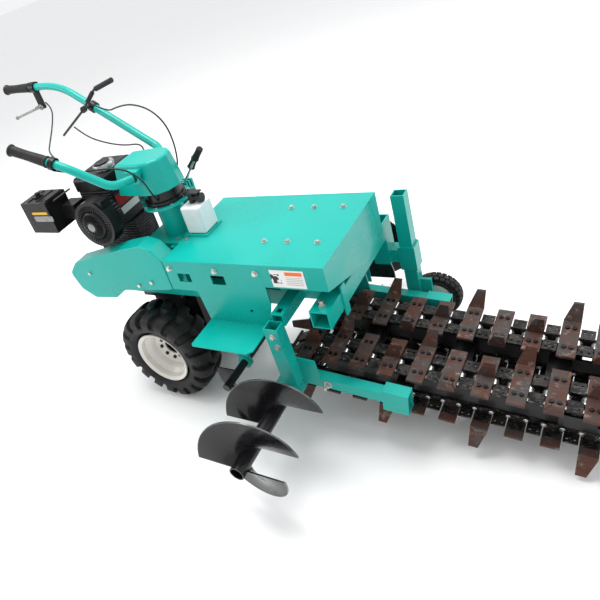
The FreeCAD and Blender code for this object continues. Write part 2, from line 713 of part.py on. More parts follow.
# squeeze lever under the off-side grip
lever_pivot = far_perch_at.add(Vector(-2.0, 0.0, -bar - perch_drop))
squeeze_tip = lever_pivot.add(Vector(-205.0, 0.0, -30.0))
squeeze = rod_between(lever_pivot.add(Vector(-6, 0, 0)), squeeze_tip, 5.5)
squeeze = squeeze.fuse(Part.makeSphere(9.0, squeeze_tip))
for side in (-1, 1):
    ear = Part.makeCylinder(13.0, 4.0, lever_pivot.add(Vector(0, side * 9.5 - 2.0, 0)), Vector(0, 1, 0))
    squeeze = squeeze.fuse(ear)
fork = 27.0
bridge = Part.makeBox(12.0, 23.0, 11.0, lever_pivot.add(Vector(-fork - 12.0, -11.5, -5.5)))
cheeks = [Part.makeBox(fork, 4.0, 11.0, lever_pivot.add(Vector(-fork, start,
                                                               -5.5))) for start in (-11.5, 7.5)]
squeeze = squeeze.fuse([bridge] + cheeks)
squeeze = squeeze.cut(Part.makeBox(2.0 * fork, 15.0, 60.0, lever_pivot.add(Vector(-fork, -7.5, -30.0))))
squeeze = squeeze.cut(Part.makeCylinder(3.05, 40.0, lever_pivot.add(Vector(0, -20, 0)), Vector(0, 1, 0)))
place(shaped(squeeze.removeSplitter()), "squeeze_lever")
place(shaped(Part.makeCylinder(3.0, 24.6, lever_pivot.add(Vector(0, -12.3, 0)), Vector(0, 1, 0))),
      "squeeze_pin")

# drive lever: a rod rocking on a bracket half way along the off-side arm
far_mid = far_path[1].add(far_path[2].sub(far_path[1]).multiply(0.62))
rock_pivot = far_mid.add(Vector(0.0, -34.0, 12.0))
bracket = collar(far_mid, far_path[2].sub(far_path[1]).normalize(), bar, bar + 7.0, 24.0)
stub = Part.makeCylinder(6.0, 34.7, rock_pivot.add(Vector(0, -20.7, 0)), Vector(0, 1, 0))
bracket = bracket.fuse(stub).cut(Part.makeCylinder(bar + 0.1, 60.0, far_mid.sub(
    Vector(far_path[2].sub(far_path[1]).normalize()).multiply(30.0)),
    far_path[2].sub(far_path[1]).normalize())).removeSplitter()
place(shaped(bracket), "rock_bracket")
rock_hub = rock_pivot.add(Vector(0, -20.0, 0))
rock_down = rock_hub.add(Vector(-180.0, 0, -92.0))
rock_up = rock_hub.add(Vector(96.0, 0, 66.0))
rock_end = rock_up.add(Vector(100.0, 0, 20.0))
rock = Part.makeCylinder(13.0, 14.0, rock_pivot.add(Vector(0, -27.0, 0)), Vector(0, 1, 0))
rock = rock.fuse([rod_between(rock_hub, rock_down, 5.0), rod_between(rock_hub, rock_up, 5.0),
                  Part.makeSphere(5.0, rock_up), rod_between(rock_up, rock_end, 5.0)])
rock = rock.cut(Part.makeCylinder(6.05, 9.0, rock_pivot.add(Vector(0, -21.0, 0)), Vector(0, 1, 0)))
place(shaped(rock.removeSplitter()), "drive_lever")
sleeve_start = rock_hub.add(rock_up.sub(rock_hub).multiply(0.4))
sleeve_end = rock_hub.add(rock_up.sub(rock_hub).multiply(0.86))
grip_start = rock_up.add(rock_end.sub(rock_up).multiply(0.12))
grip_end = rock_up.add(rock_end.sub(rock_up).multiply(1.08))
sleeves = []
for sleeve_from, sleeve_to, outer, inner_end in ((sleeve_start, sleeve_end, 9.0, rock_up),
                                                 (grip_start, grip_end, 10.0, rock_end)):
    bore_from = sleeve_from.sub(sleeve_to.sub(sleeve_from).multiply(0.2))
    sleeves.append(rod_between(sleeve_from, sleeve_to, outer).cut(rod_between(bore_from, inner_end, 5.05)))
place(shaped(Part.makeCompound(sleeves)), "drive_lever_grip")

# ------------------------------------------------------------- engine and fuel
engine_x = "hood_rear - 300"
bed = "%s + 60" % rail_low
place(fuse([
    box(("hood_rear - 480", "-106", "%s + 0.2" % bed), ("hood_rear - 210", "106", "%s + 14" % bed)),
    box(("hood_rear - 470", "-50", "%s + 13" % bed), ("hood_rear - 230", "60", "hood_top + 60")),
]), "engine_base")
place(fuse([
    box(("hood_rear - 400", "-96", "hood_top + 60.2"), ("hood_rear - 246", "96", "hood_top + 216")),
    rod("Y", (engine_x, "-120", "hood_top + 118"), "84", "24"),
]), "engine_block")
shroud = fuse([
    rod("Y", (engine_x, "-176", "hood_top + 118"), "92", "55.8"),
    box(("%s + 10" % engine_x, "-168", "hood_top + 64"), ("%s + 72" % engine_x, "-120.2", "hood_top + 206")),
])
place(cut(shroud, [rod("Y", (engine_x, "-177", "hood_top + 118"), "66", "40")]), "engine_shroud")
place(fuse([
    rod("Y", (engine_x, "-190", "hood_top + 118"), "56", "52.8"),
    rod("Y", (engine_x, "-196", "hood_top + 118"), "30", "8"),
]), "recoil_starter")
place(fuse([
    box(("hood_rear - 621", "-212", "hood_top + 106"), ("hood_rear - 474", "-100", "hood_top + 236")),
    box(("hood_rear - 474.2", "-150", "hood_top + 130"), ("hood_rear - 400.2", "-90", "hood_top + 190")),
]), "air_cleaner")
place(fuse([
    rod("Z", ("hood_rear - 560", "-160", "hood_top + 236"), "20", "8"),
    rod("Z", ("hood_rear - 560", "-160", "hood_top + 244"), "11", "12"),
]), "air_cleaner_knob")
tank = new_body("Tank")
tank_plan = new_sketch(tank, "XY_Plane", "hood_top + 216.3")
draw_loop(tank_plan, rectangle("hood_rear - 420", "-96", "hood_rear - 262", "104"))
pad(tank, tank_plan, "52")
round_edges(tank, "16", lambda edge: max(vertex.Z for vertex in edge.Vertexes) > size("hood_top") + 260.0)
place(tank, "fuel_tank")
place(fuse([
    rod("Z", ("hood_rear - 300", "-20", "hood_top + 268.5"), "34", "26"),
    rod("Z", ("hood_rear - 300", "-20", "hood_top + 294.5"), "30", "4"),
]), "fuel_cap")
place(box(("hood_rear - 245.8", "-84", "hood_top + 70"), ("hood_rear - 242", "40", "hood_top + 200")),
      "engine_plate")
place(fuse([
    box(("hood_rear - 400", "96.2", "hood_top + 80"), ("hood_rear - 230", "176", "hood_top + 180")),
    rod("X", ("hood_rear - 440", "136", "hood_top + 130"), "16", "42"),
]), "muffler")
hood_rear = size("hood_rear")
hood_top = size("hood_top")

# --------------------------------------------------- tank box beside the post
box_low = "hood_top + 6.2"
place(box(("hood_rear - 2", "-62", "hood_top + 0.2"), ("hood_rear + 98", "40", "hood_top + 6")), "tray")
bottle = new_body("Bottle")
bottle_plan = new_sketch(bottle, "XY_Plane", box_low)
draw_loop(bottle_plan, rectangle("hood_rear + 12", "-54", "hood_rear + 92", "32"))
pad(bottle, bottle_plan, "104")
round_edges(bottle, "8", lambda edge: True)
place(bottle, "white_box")
place(fuse([
    rod("Z", ("hood_rear + 46", "-10", "hood_top + 110.4"), "13", "34.8"),
    rod("X", ("hood_rear + 46", "-10", "hood_top + 128"), "11", "26"),
]), "box_neck")
place(rod("X", ("hood_rear + 72.2", "-10", "hood_top + 128"), "17", "20"), "box_knob")
place(fuse([
    rod("Z", ("hood_rear + 46", "-10", "hood_top + 145.4"), "23", "6"),
    box(("hood_rear + 46", "-24", "hood_top + 145.4"), ("hood_rear + 86", "4", "hood_top + 151.4")),
]), "box_flap")

# ------------------------------------------------------------ gear shift levers
gate_level = size("flange_level") + 6.0
gate_edge = 95.2
gate = Part.makeBox(54.0, 42.0, gate_level - hood_top + 38.0, Vector(column_ahead - 26, gate_edge,
        hood_top - 38.0))
lever_sides = (gate_edge + 10.3, gate_edge + 27.3)
for lever_side in lever_sides:
    gate = gate.cut(Part.makeBox(66.0, 9.0, 40.0, Vector(column_ahead - 27, lever_side - 4.5,
                                                         gate_level - 30.0)))
gate = gate.cut(Part.makeCylinder(2.52, 60.0, Vector(column_ahead + 4.0, gate_edge - 5.0, gate_level - 10.0),
                                  Vector(0, 1, 0)))
place(shaped(gate), "shift_gate")
levers = (("long", lever_sides[0], Vector(0.70, 0, 0.714), 150.0),
          ("short", lever_sides[1], Vector(0.66, 0, 0.751), 92.0))
for lever_name, side_at, lean, reach in levers:
    lean.normalize()
    foot = Vector(column_ahead + 4.0, side_at, gate_level - 10.0)
    top = foot.add(Vector(lean).multiply(reach))
    stem = rod_between(foot, top, 3.6).fuse(Part.makeCylinder(9.0, 6.0, foot.sub(Vector(0, 3, 0)),
                                                              Vector(0, 1, 0)))
    stem = stem.cut(Part.makeCylinder(2.55, 12.0, foot.sub(Vector(0, 6, 0)), Vector(0, 1, 0)))
    place(shaped(stem.removeSplitter()), "gear_lever_" + lever_name)
    knob_start = top.sub(Vector(lean).multiply(16.0))
    knob = rod_between(knob_start, top.add(Vector(lean).multiply(36.0)), 9.5)
    knob = knob.cut(rod_between(knob_start.sub(lean), top.add(Vector(lean).multiply(0.3)), 3.65))
    place(shaped(knob.removeSplitter()), "gear_grip_" + lever_name)
place(shaped(Part.makeCylinder(2.5, 41.6, Vector(column_ahead + 4.0, gate_edge + 0.2, gate_level - 10.0),
                               Vector(0, 1, 0))), "shift_pin")

# ------------------------------------------------------- posts and bearing rings
for side_name, side in SIDES.items():
    half = size("post_size")
    inner = size("tube_half") + 0.3
    low_y = inner if side > 0 else -inner - half
    ring_centre = Vector(size("head_ahead"), low_y, size("head_level"))
    ring = Part.makeCylinder(size("ring_radius"), half, ring_centre, Vector(0, 1, 0))
    top_x = size("rear_tube_ahead") - 12.0
    foot_x = size("head_ahead")
    top_z = size("hood_top") - 181.0
    foot_z = size("head_level") + 30.0
    outline = [Vector(top_x, low_y, top_z), Vector(top_x + half + 4.0, low_y, top_z),
               Vector(foot_x + half + 4.0, low_y, foot_z), Vector(foot_x, low_y, foot_z),
               Vector(top_x, low_y, top_z)]
    leg = Part.Face(Part.makePolygon(outline)).extrude(Vector(0, half, 0))
    wall = size("tube_wall")
    inner_line = [Vector(top_x + wall, low_y + wall, top_z + 1.0),
                  Vector(top_x + half + 4.0 - wall, low_y + wall, top_z + 1.0),
                  Vector(foot_x + half + 4.0 - wall, low_y + wall, foot_z + 60.0),
                  Vector(foot_x + wall, low_y + wall, foot_z + 60.0),
                  Vector(top_x + wall, low_y + wall, top_z + 1.0)]
    hollow = Part.Face(Part.makePolygon(inner_line)).extrude(Vector(0, half - 2.0 * wall, 0))
    post = leg.cut(hollow).fuse(ring)
    if side > 0:
        web = Part.makeBox(104.0, 6.0, 250.0, Vector(foot_x - 22.0, low_y + half - 6.0, foot_z - 10.0))
        post = post.fuse(web)
    bore = Part.makeCylinder(size("head_radius") + 0.05, half + 2.0,
                             ring_centre.sub(Vector(0, 1, 0)), Vector(0, 1, 0))
    post = post.cut(bore).removeSplitter()
    place(shaped(post), "post_" + side_name)
post_bolts = []
for side in (-1, 1):
    for drop in (26.0, 66.0):
        centre = Vector(size("rear_tube_ahead") + 14.0 + drop * 0.13,
                        side * (size("tube_half") + size("post_size") + 0.4),
                        size("hood_top") - 181.0 - drop)
        post_bolts.append(Part.makeCylinder(10.0, 1.6, centre, Vector(0, side, 0)))
        post_bolts.append(hexagon(centre.add(Vector(0, side * 1.7, 0)), (0, side, 0), 13.0, 8.0))
place(shaped(Part.makeCompound(post_bolts)), "post_bolts")
place(box(("front_tube_ahead + front_tube + 0.2", "-144", "hood_top - 224"),
          ("front_tube_ahead + front_tube + 5", "-116", "hood_top - skirt_depth - 34")), "front_strut")

# ------------------------------------------------------------- spoil augers
def half_turn_blade(start_side, way, start_angle, radius, inner, pitch, thick):
    """Half a turn of helical flight; way is -1 for a blade that runs inboard to +Y."""
    rise = pitch / 2.0
    outer_edge = Part.makeHelix(pitch, rise, radius)
    inner_edge = Part.makeHelix(pitch, rise, inner)
    face = Part.makeRuledSurface(outer_edge.Edges[0], inner_edge.Edges[0].reversed())
    blade = face.extrude(Vector(0, 0, thick))
    if blade.Volume < 0:
        blade.reverse()
    blade = blade.cut(Part.makeCylinder(inner + 2.0, rise + thick + 2.0, Vector(0, 0, -1.0)))
    blade.rotate(Vector(0, 0, 0), Vector(0, 0, 1), start_angle)
    if way < 0:
        blade = blade.mirror(Vector(0, 0, 0), Vector(0, 0, 1))
    blade.rotate(Vector(0, 0, 0), Vector(1, 0, 0), -90)
    blade.translate(Vector(0, start_side, 0))
    return blade


head = Vector(size("head_ahead"), 0, size("head_level"))
end = size("auger_end")
tube_start = size("tube_half") + size("post_size") + 4.0
place(rod("Y", ("head_ahead", "-tube_half - post_size - 100", "head_level"), "head_radius",
          "2 * (tube_half + post_size + 100)"), "head_shaft")
for side_name, side in SIDES.items():
    low_y = -end if side < 0 else tube_start
    tube = Part.makeCylinder(size("auger_tube"), end - tube_start, Vector(head.x, low_y, head.z),
                             Vector(0, 1, 0))
    inner_y = low_y - 1.0
    tube = tube.cut(Part.makeCylinder(size("head_radius") + 0.1, end - tube_start + 2.0,
                                      Vector(head.x, inner_y, head.z), Vector(0, 1, 0)))
    place(shaped(tube), "auger_tube_" + side_name)
    blades = []
    pitch = size("blade_pitch")
    thick = size("blade_thick")
    starts = ((end - 18.0, 0.0), (end - 18.0, 180.0), (end - 195.0, 180.0))
    for from_end, angle in starts:
        blade = half_turn_blade(0.0, 1, angle, size("auger_radius"), size("auger_tube") - 1.9, pitch, thick)
        if side > 0:
            blade = blade.mirror(Vector(0, 0, 0), Vector(0, 1, 0))
        blade.translate(Vector(head.x, side * from_end, head.z))
        blades.append(blade)
    place(shaped(Part.makeCompound(blades)), "auger_blades_" + side_name)

place(rod("Y", ("rear_shaft_ahead", "-rear_shaft_end", "rear_shaft_level"), "14", "2 * rear_shaft_end"),
      "rear_shaft")
rear_blades = []
for side in (-1, 1):
    blade = half_turn_blade(0.0, 1, 0.0, size("rear_blade_radius"), 12.1, 150.0, size("blade_thick"))
    if side > 0:
        blade = blade.mirror(Vector(0, 0, 0), Vector(0, 1, 0))
    blade.translate(Vector(size("rear_shaft_ahead"), side * (size("rear_shaft_end") - 10.0),
                           size("rear_shaft_level")))
    rear_blades.append(blade)
place(shaped(Part.makeCompound(rear_blades)), "rear_blades")
for side_name, side in SIDES.items():
    inner, outer = ("-209", "-199") if side < 0 else ("199", "209")
    place(cut(fuse([
        box(("rear_shaft_ahead - 24", inner, "rear_shaft_level - 10"),
            ("rear_shaft_ahead + 24", outer, "hood_top - 130")),
        box(("rear_shaft_ahead - 24", "110.2" if side > 0 else "-209", "%s + 2" % rail_low),
            ("rear_shaft_ahead + 24", "209" if side > 0 else "-110.2", "%s + 12" % rail_low)),
        rod("Y", ("rear_shaft_ahead", "-212" if side < 0 else "196", "rear_shaft_level"), "26", "16"),
    ]), [rod("Y", ("rear_shaft_ahead", "-300", "rear_shaft_level"), "14.05", "600")]),
        "shaft_hanger_" + side_name)

# ---------------------------------------------------------- boom and its chains
run = "chain_pitch * straight_links"
pin_circle = "chain_pitch / (2 * sin(180 / sprocket_teeth))"
bars = []
for side in (-1, 1):
    row = "%d * chain_row" % side
    bars.append(box(("72", "%s - bar_width / 2" % row, "-bar_depth / 2"),
                    ("%s - 72" % run, "%s + bar_width / 2" % row, "bar_depth / 2")))
for spot in (150.0, 430.0, 684.0):
    bars.append(box((str(spot), "-chain_row", "-18"), (str(spot + 60.0), "chain_row", "18")))
for side in (-1, 1):
    clamp_face = "tube_half - 1 - arm_size - 8 - 0.2"
    low, high = ("-(%s)" % clamp_face, "-chain_row") if side < 0 else ("chain_row", clamp_face)
    bars.append(box(("310", low, "-18"), ("354", high, "18")))
    for cheek in (-1, 1):
        offset = "%d * chain_row + %d * 33" % (side, cheek)
        bars.append(box(("%s - 100" % run, "%s - 3" % offset, "-22"),
                        ("%s + 18" % run, "%s + 3" % offset, "22")))
        bars.append(box(("%s - 100" % run, "%s - 33 * %d" % (offset, cheek), "-22"),
                        ("%s - 72" % run, "%s + 3 * %d" % (offset, cheek), "22"))
                    if cheek > 0 else
                    box(("%s - 100" % run, "%s - 3" % offset, "-22"),
                        ("%s - 72" % run, "%s + 33" % offset, "22")))
beam = fuse(bars)
nose_hole = rod("Y", (run, "-300", "0"), "12.1", "600")
on_boom(cut(beam, [nose_hole]), "boom_beam")
on_boom(rod("Y", (run, "-chain_row - 44", "0"), "12", "2 * chain_row + 88"), "nose_axle")


def sprocket(centre_x, bore):
    """A toothed wheel whose gaps seat the chain's rollers."""
    pitch_radius = size(pin_circle)
    roller = size("roller_radius") + 0.4
    teeth = int(size("sprocket_teeth"))
    disc = Part.makeCylinder(pitch_radius + 5.0, 22.0, Vector(centre_x, -11, 0), Vector(0, 1, 0))
    for tooth in range(teeth):
        angle = math.radians(90 + 360.0 / teeth * tooth)
        seat = Vector(centre_x + pitch_radius * math.cos(angle), -12, pitch_radius * math.sin(angle))
        disc = disc.cut(Part.makeCylinder(roller, 24.0, seat, Vector(0, 1, 0)))
        outer = Vector(centre_x + (pitch_radius + 12) * math.cos(angle), -12,
                       (pitch_radius + 12) * math.sin(angle))
        disc = disc.cut(Part.makeCylinder(roller, 24.0, outer, Vector(0, 1, 0)))
    hole = Part.makeCylinder(bore, 24.0, Vector(centre_x, -12, 0), Vector(0, 1, 0))
    return disc.cut(hole)


def loop_pins():
    """Pin centres round the loop, starting above the head shaft."""
    pitch = size("chain_pitch")
    count = int(size("straight_links"))
    teeth = int(size("sprocket_teeth"))
    radius = size(pin_circle)
    length = pitch * count
    pins = [Vector(pitch * index, 0, radius) for index in range(count + 1)]
    for step in range(1, teeth // 2):
        angle = math.radians(90 - 360.0 / teeth * step)
        pins.append(Vector(length + radius * math.cos(angle), 0, radius * math.sin(angle)))
    pins += [Vector(length - pitch * index, 0, -radius) for index in range(count + 1)]
    for step in range(1, teeth // 2):
        angle = math.radians(270 - 360.0 / teeth * step)
        pins.append(Vector(radius * math.cos(angle), 0, radius * math.sin(angle)))
    return pins


def link_shape(outer):
    """One chain link lying along X about its own middle, outward side up."""
    pitch = size("chain_pitch")
    pin = size("pin_radius")
    roller = size("roller_radius")
    near_side = 22.0 if outer else 14.2
    plates = []
    for side in (-1, 1):
        inner = side * near_side
        low_y = min(inner, inner + side * 6.0)
        strap = Part.makeBox(pitch, 6.0, 20.0, Vector(-pitch / 2, low_y, -10))
        for end_x in (-pitch / 2, pitch / 2):
            strap = strap.fuse(Part.makeCylinder(10.0, 6.0, Vector(end_x, low_y, 0), Vector(0, 1, 0)))
        riser = Part.makeBox(30.0, 6.0, 22.0, Vector(-15, low_y, -4))
        flange_low = min(inner, side * 56.0)
        flange = Part.makeBox(36.0, abs(side * 56.0 - inner), 5.0, Vector(-18, flange_low, 13.0))
        for hole_x in (-9.0, 9.0):
            flange = flange.cut(Part.makeCylinder(3.4, 7.0, Vector(hole_x, side * 43.0, 12.0)))
        plates.append(strap.fuse([riser, flange]))
    if outer:
        reach = near_side + 6.0
        joints = [Part.makeCylinder(pin, 2 * reach + 4.0, Vector(x, -reach - 2.0, 0), Vector(0, 1, 0))
                  for x in (-pitch / 2, pitch / 2)]
        whole = plates[0].fuse([plates[1]] + joints)
    else:
        joints = [Part.makeCylinder(roller, 2 * near_side + 0.4, Vector(x, -near_side - 0.2, 0),
                                    Vector(0, 1, 0))
                  for x in (-pitch / 2, pitch / 2)]
        whole = plates[0].fuse([plates[1]] + joints)
        for x in (-pitch / 2, pitch / 2):
            whole = whole.cut(Part.makeCylinder(pin + 0.1, 60.0, Vector(x, -30, 0), Vector(0, 1, 0)))
    return whole.removeSplitter()


def cutter_shape(kind):
    """A bolted cross plate with one upturned tooth: at its near end, middle or far end."""
    length = size("cutter_length")
    width = size("cutter_width")
    thick = size("cutter_thick")
    rise = size("tooth_rise")
    base_z = 18.2
    plate = Part.makeBox(width, length, thick, Vector(-width / 2, -length / 2, base_z))
    lean = {"near": -1.0, "middle": 0.0, "far": 1.0}[kind]
    root_y = lean * (length / 2 - thick)
    tip_y = root_y + lean * rise * 0.45
    outline = [Vector(-width / 2, root_y, base_z + thick - 0.5), Vector(width / 2, root_y,
            base_z + thick - 0.5),
               Vector(width * 0.5, tip_y, base_z + thick + rise), Vector(-width * 0.06, tip_y,
                       base_z + thick + rise),
               Vector(-width / 2, root_y, base_z + thick - 0.5)]
    tooth = Part.Face(Part.makePolygon(outline)).extrude(Vector(0, thick * (lean if lean else 1.0), 0))
    if tooth.Volume < 0:
        tooth.reverse()
    return plate.fuse(tooth).removeSplitter()


pins = loop_pins()
link_kinds = {True: link_shape(True), False: link_shape(False)}
cutter_kinds = [cutter_shape(kind) for kind in ("far", "near", "middle")]
for side_name, side in SIDES.items():
    groups = {"links_outer": [], "links_inner": [], "cutters": [], "cutter_bolts": []}
    for index, start in enumerate(pins):
        finish = pins[(index + 1) % len(pins)]
        middle = start.add(finish).multiply(0.5)
        along = finish.sub(start)
        turn = math.degrees(math.atan2(-along.z, along.x))
        spot = Placement(Vector(middle.x, side * size("chain_row"), middle.z),
                         Rotation(Vector(0, 1, 0), turn))
        outer = index % 2 == 0
        link = link_kinds[outer].copy()
        link.Placement = spot
        groups["links_outer" if outer else "links_inner"].append(link)
        if outer:
            offset = 0 if side < 0 else 2
            cutter = cutter_kinds[(index // 2 + offset + 2) % 3].copy()
            cutter.Placement = spot
            groups["cutters"].append(cutter)
            for bolt_x in (-9.0, 9.0):
                for bolt_y in (-43.0, 43.0):
                    top = 18.3 + size("cutter_thick")
                    local = Placement(Vector(bolt_x, bolt_y, top), Rotation())
                    bolt = hexagon((0, 0, 0), (0, 0, 1), 11.0, 5.0)
                    bolt.Placement = spot.multiply(local)
                    groups["cutter_bolts"].append(bolt)
    for name, solids in groups.items():
        on_boom(shaped(Part.makeCompound(solids)), "chain_%s_%s" % (name, side_name))
    for end_name, centre_x, bore in (("head_sprocket", 0.0, size("head_radius") + 0.05),
                                     ("nose_idler", size(run), 12.05)):
        wheel = sprocket(centre_x, bore)
        wheel.translate(Vector(0, side * size("chain_row"), 0))
        on_boom(shaped(wheel), "%s_%s" % (end_name, side_name))

# side arms that carry the boom on the head shaft, outside the chains
for side_name, side in SIDES.items():
    outer_y = size("tube_half") - 1.0
    arm = size("arm_size")
    low_y = -outer_y if side < 0 else outer_y - arm
    eye = Part.makeCylinder(size("ring_radius"), arm, Vector(0, low_y, 0), Vector(0, 1, 0))
    bar_low = 26.0
    beam_box = Part.makeBox(268.0, arm, arm, Vector(30.0, low_y, bar_low - 12.0))
    gusset_line = [Vector(0, low_y, 40), Vector(20, low_y, 118), Vector(92, low_y, 118),
                   Vector(104, low_y, 40), Vector(0, low_y, 40)]
    gusset = Part.Face(Part.makePolygon(gusset_line)).extrude(Vector(0, 6, 0))
    whole = eye.fuse([beam_box, gusset])
    whole = whole.cut(Part.makeCylinder(size("head_radius") + 0.05, arm + 2.0,
                                        Vector(0, low_y - 1, 0), Vector(0, 1, 0)))
    on_boom(shaped(whole.removeSplitter()), "boom_arm_" + side_name)
    shell_low = low_y if side < 0 else low_y - 8.0
    shell = Part.makeBox(76.0, arm + 8.0, 76.0, Vector(298.2, shell_low, -18.2))
    tube_gap = Part.makeBox(78.0, arm, 66.0, Vector(297.0, shell_low + 4.0, -13.2))
    shell = shell.cut(tube_gap)
    on_boom(shaped(shell), "boom_clamp_" + side_name)
bolt_list = []
for side in (-1, 1):
    face_y = side * (size("tube_half") - 0.9)
    for spot_x, spot_z in ((128.0, 32.0),):
        centre = Vector(spot_x, face_y, spot_z)
        bolt_list.append(Part.makeCylinder(13.0, 2.0, centre, Vector(0, side, 0)))
        bolt_list.append(hexagon(centre.add(Vector(0, side * 2.1, 0)), (0, side, 0), 17.0, 10.0))
        bolt_list.append(Part.makeCylinder(5.0, 14.0, centre.add(Vector(0, side * 12.2, 0)), Vector(0,
                side, 0)))
on_boom(shaped(Part.makeCompound(bolt_list)), "boom_arm_bolts")

# --------------------------------------------------- gauge wheel on the off side
post_low = "gauge_side - gauge_post / 2"
post_high = "gauge_side + gauge_post / 2"
sleeve_out = "(gauge_post / 2 + 6)"
beam_low = "head_level + 138"
place(fuse([
    cut(box(("front_tube_ahead + 2", "tube_half - 7.8", beam_low),
            ("front_tube_ahead + front_tube - 2", "tube_half + 54", "%s + front_tube" % front_low)),
        [box(("front_tube_ahead + 7", "tube_half - 3", "%s + 62" % beam_low),
             ("front_tube_ahead + front_tube - 7", "tube_half + 49", "%s + 100" % front_low))]),
    box(("front_tube_ahead + front_tube - 3", "gauge_side - 25", beam_low),
        ("gauge_ahead - gauge_post / 2 - 6.2", "gauge_side + 25", "%s + 50" % beam_low)),
]), "gauge_bracket")
place(cut(box(("gauge_ahead - %s" % sleeve_out, "gauge_side - %s" % sleeve_out, "%s - 30" % beam_low),
              ("gauge_ahead + %s" % sleeve_out, "gauge_side + %s" % sleeve_out, "%s + 62" % beam_low)),
          [box(("gauge_ahead - gauge_post / 2 - 0.4", "gauge_side - gauge_post / 2 - 0.4",
                beam_low + " - 40"),
               ("gauge_ahead + gauge_post / 2 + 0.4", "gauge_side + gauge_post / 2 + 0.4",
                beam_low + " + 80"))]),
      "gauge_sleeve")
post_foot = "head_level - 90"
place(square_tube(("gauge_ahead - gauge_post / 2", post_low, post_foot),
                  ("gauge_ahead + gauge_post / 2", post_high, "head_level + 400"), 2), "gauge_post")
wheel_at = "gauge_ahead + 51"
wheel_level = "head_level - 55"
wheel_side = "gauge_side + 60"
place(cut(fuse([
    box(("gauge_ahead + gauge_post / 2 + 0.2", "gauge_side - 20", "%s - 22" % wheel_level),
        ("%s + 18" % wheel_at, "gauge_side + 20", "%s + 22" % wheel_level)),
    box(("gauge_ahead + gauge_post / 2 + 0.2", "gauge_side - 6", "%s + 22" % wheel_level),
        ("gauge_ahead + gauge_post / 2 + 36", "gauge_side + 6", "%s + 110" % wheel_level)),
    rod("Y", (wheel_at, "gauge_side + 20", wheel_level), "18", "8"),
]), [rod("Y", (wheel_at, "gauge_side - 40", wheel_level), "10", "90")]), "gauge_fork")
place(fuse([
    rod("Y", (wheel_at, "gauge_side - 22", wheel_level), "9.9", "116"),
    rod("Y", (wheel_at, "gauge_side - 30", wheel_level), "15", "8"),
]), "gauge_axle")
gauge_rim = fuse([
    rod("Y", (wheel_at, "%s - gauge_width / 2" % wheel_side, wheel_level), "gauge_radius - 34",
        "gauge_width"),
    rod("Y", (wheel_at, "%s - gauge_width / 2 - 5" % wheel_side, wheel_level), "24", "gauge_width + 10"),
])
place(cut(gauge_rim, [
    rod("Y", (wheel_at, "gauge_side - 40", wheel_level), "9.95", "200"),
    cut(rod("Y", (wheel_at, "%s + 8" % wheel_side, wheel_level), "gauge_radius - 40", "40"),
        [rod("Y", (wheel_at, "%s" % wheel_side, wheel_level), "24.5", "60")]),
]), "gauge_rim")
gauge_tyre = cut(rod("Y", (wheel_at, "%s - gauge_width / 2" % wheel_side, wheel_level),
                     "gauge_radius - 5", "gauge_width"),
                 [rod("Y", (wheel_at, "%s - gauge_width" % wheel_side, wheel_level),
                      "gauge_radius - 33.9", "3 * gauge_width")])
doc.recompute()
blocks = []
for row in (-1, 1):
    for index in range(20):
        block = Part.makeBox(15.0, size("gauge_width") / 2 - 5.0, 9.0, Vector(-7.5, 0,
                size("gauge_radius") - 9.3))
        block.translate(Vector(0,
                               size(wheel_side) + (3.0 if row > 0 else -size("gauge_width") / 2 + 2.0), 0))
        block.rotate(Vector(0, 0, 0), Vector(0, 1, 0), 18.0 * index + (9.0 if row > 0 else 0.0))
        block.translate(Vector(size(wheel_at), 0, size(wheel_level)))
        blocks.append(block)
tread = gauge_tyre.Shape.fuse(blocks).common(
    Part.makeCylinder(size("gauge_radius"), 200.0, Vector(size(wheel_at), size(wheel_side) - 100,
                                                          size(wheel_level)),
                      Vector(0, 1, 0)))
place(shaped(tread), "gauge_tyre")

# ------------------------------------------------------------- control cables
cable = size("cable_radius")
near_down = Vector(0, 0, -1).sub(Vector(near_dir).multiply(near_dir.dot(Vector(0, 0, -1)))).normalize()
near_in = near_dir.cross(near_down).normalize()
if near_in.y < 0:
    near_in = near_in.negative()
collar_reach = bar + 8.0 + cable + 0.3
cable_routes = {
    "cable_drive": [rock_pivot.add(Vector(10, -2, bar + 12)), Vector(-190, 178, above + 288),
                    Vector(-102, 158, above + 308), Vector(-14, 142, above + 314), Vector(72, 130,
                            above + 288),
                    Vector(128, 120, above + 232), Vector(142, 112, above + 154), Vector(132, 101,
                            above + 72),
                    Vector(column_ahead + 6, 71.1, above + 28)],
    "cable_clutch": [Vector(-404, 179, above + 250), Vector(-352, 173, above + 205), Vector(-262, 170,
            above + 170),
                     Vector(-150, 158, above + 152), Vector(-50, 142, above + 160),
                     Vector(-8, 112, above + 142), Vector(4, 72.2, above + 92)],
    "cable_squeeze": [lever_pivot.add(Vector(30, 0, 14)), Vector(-513, 205, above + 336),
                      Vector(-420, 92, above + 300), Vector(-318, -36, above + 276),
                      Vector(-220, -140, above + 272),
                      near_perch_at.add(Vector(near_in).multiply(collar_reach))],
    "cable_throttle": [near_perch_at.add(Vector(near_down).multiply(collar_reach)), Vector(-70, -196,
            above + 214),
                       Vector(14, -166, above + 206), Vector(80, -146, above + 198), Vector(126, -128,
                               above + 172),
                       Vector(150, -110, above + 122), Vector(152, -98, above + 64),
                       Vector(column_ahead + 23, -67.4, above + 26)],
}
for cable_name, route in cable_routes.items():
    place(shaped(bent_rod([tuple(point) for point in route], cable, 0.45)), cable_name)

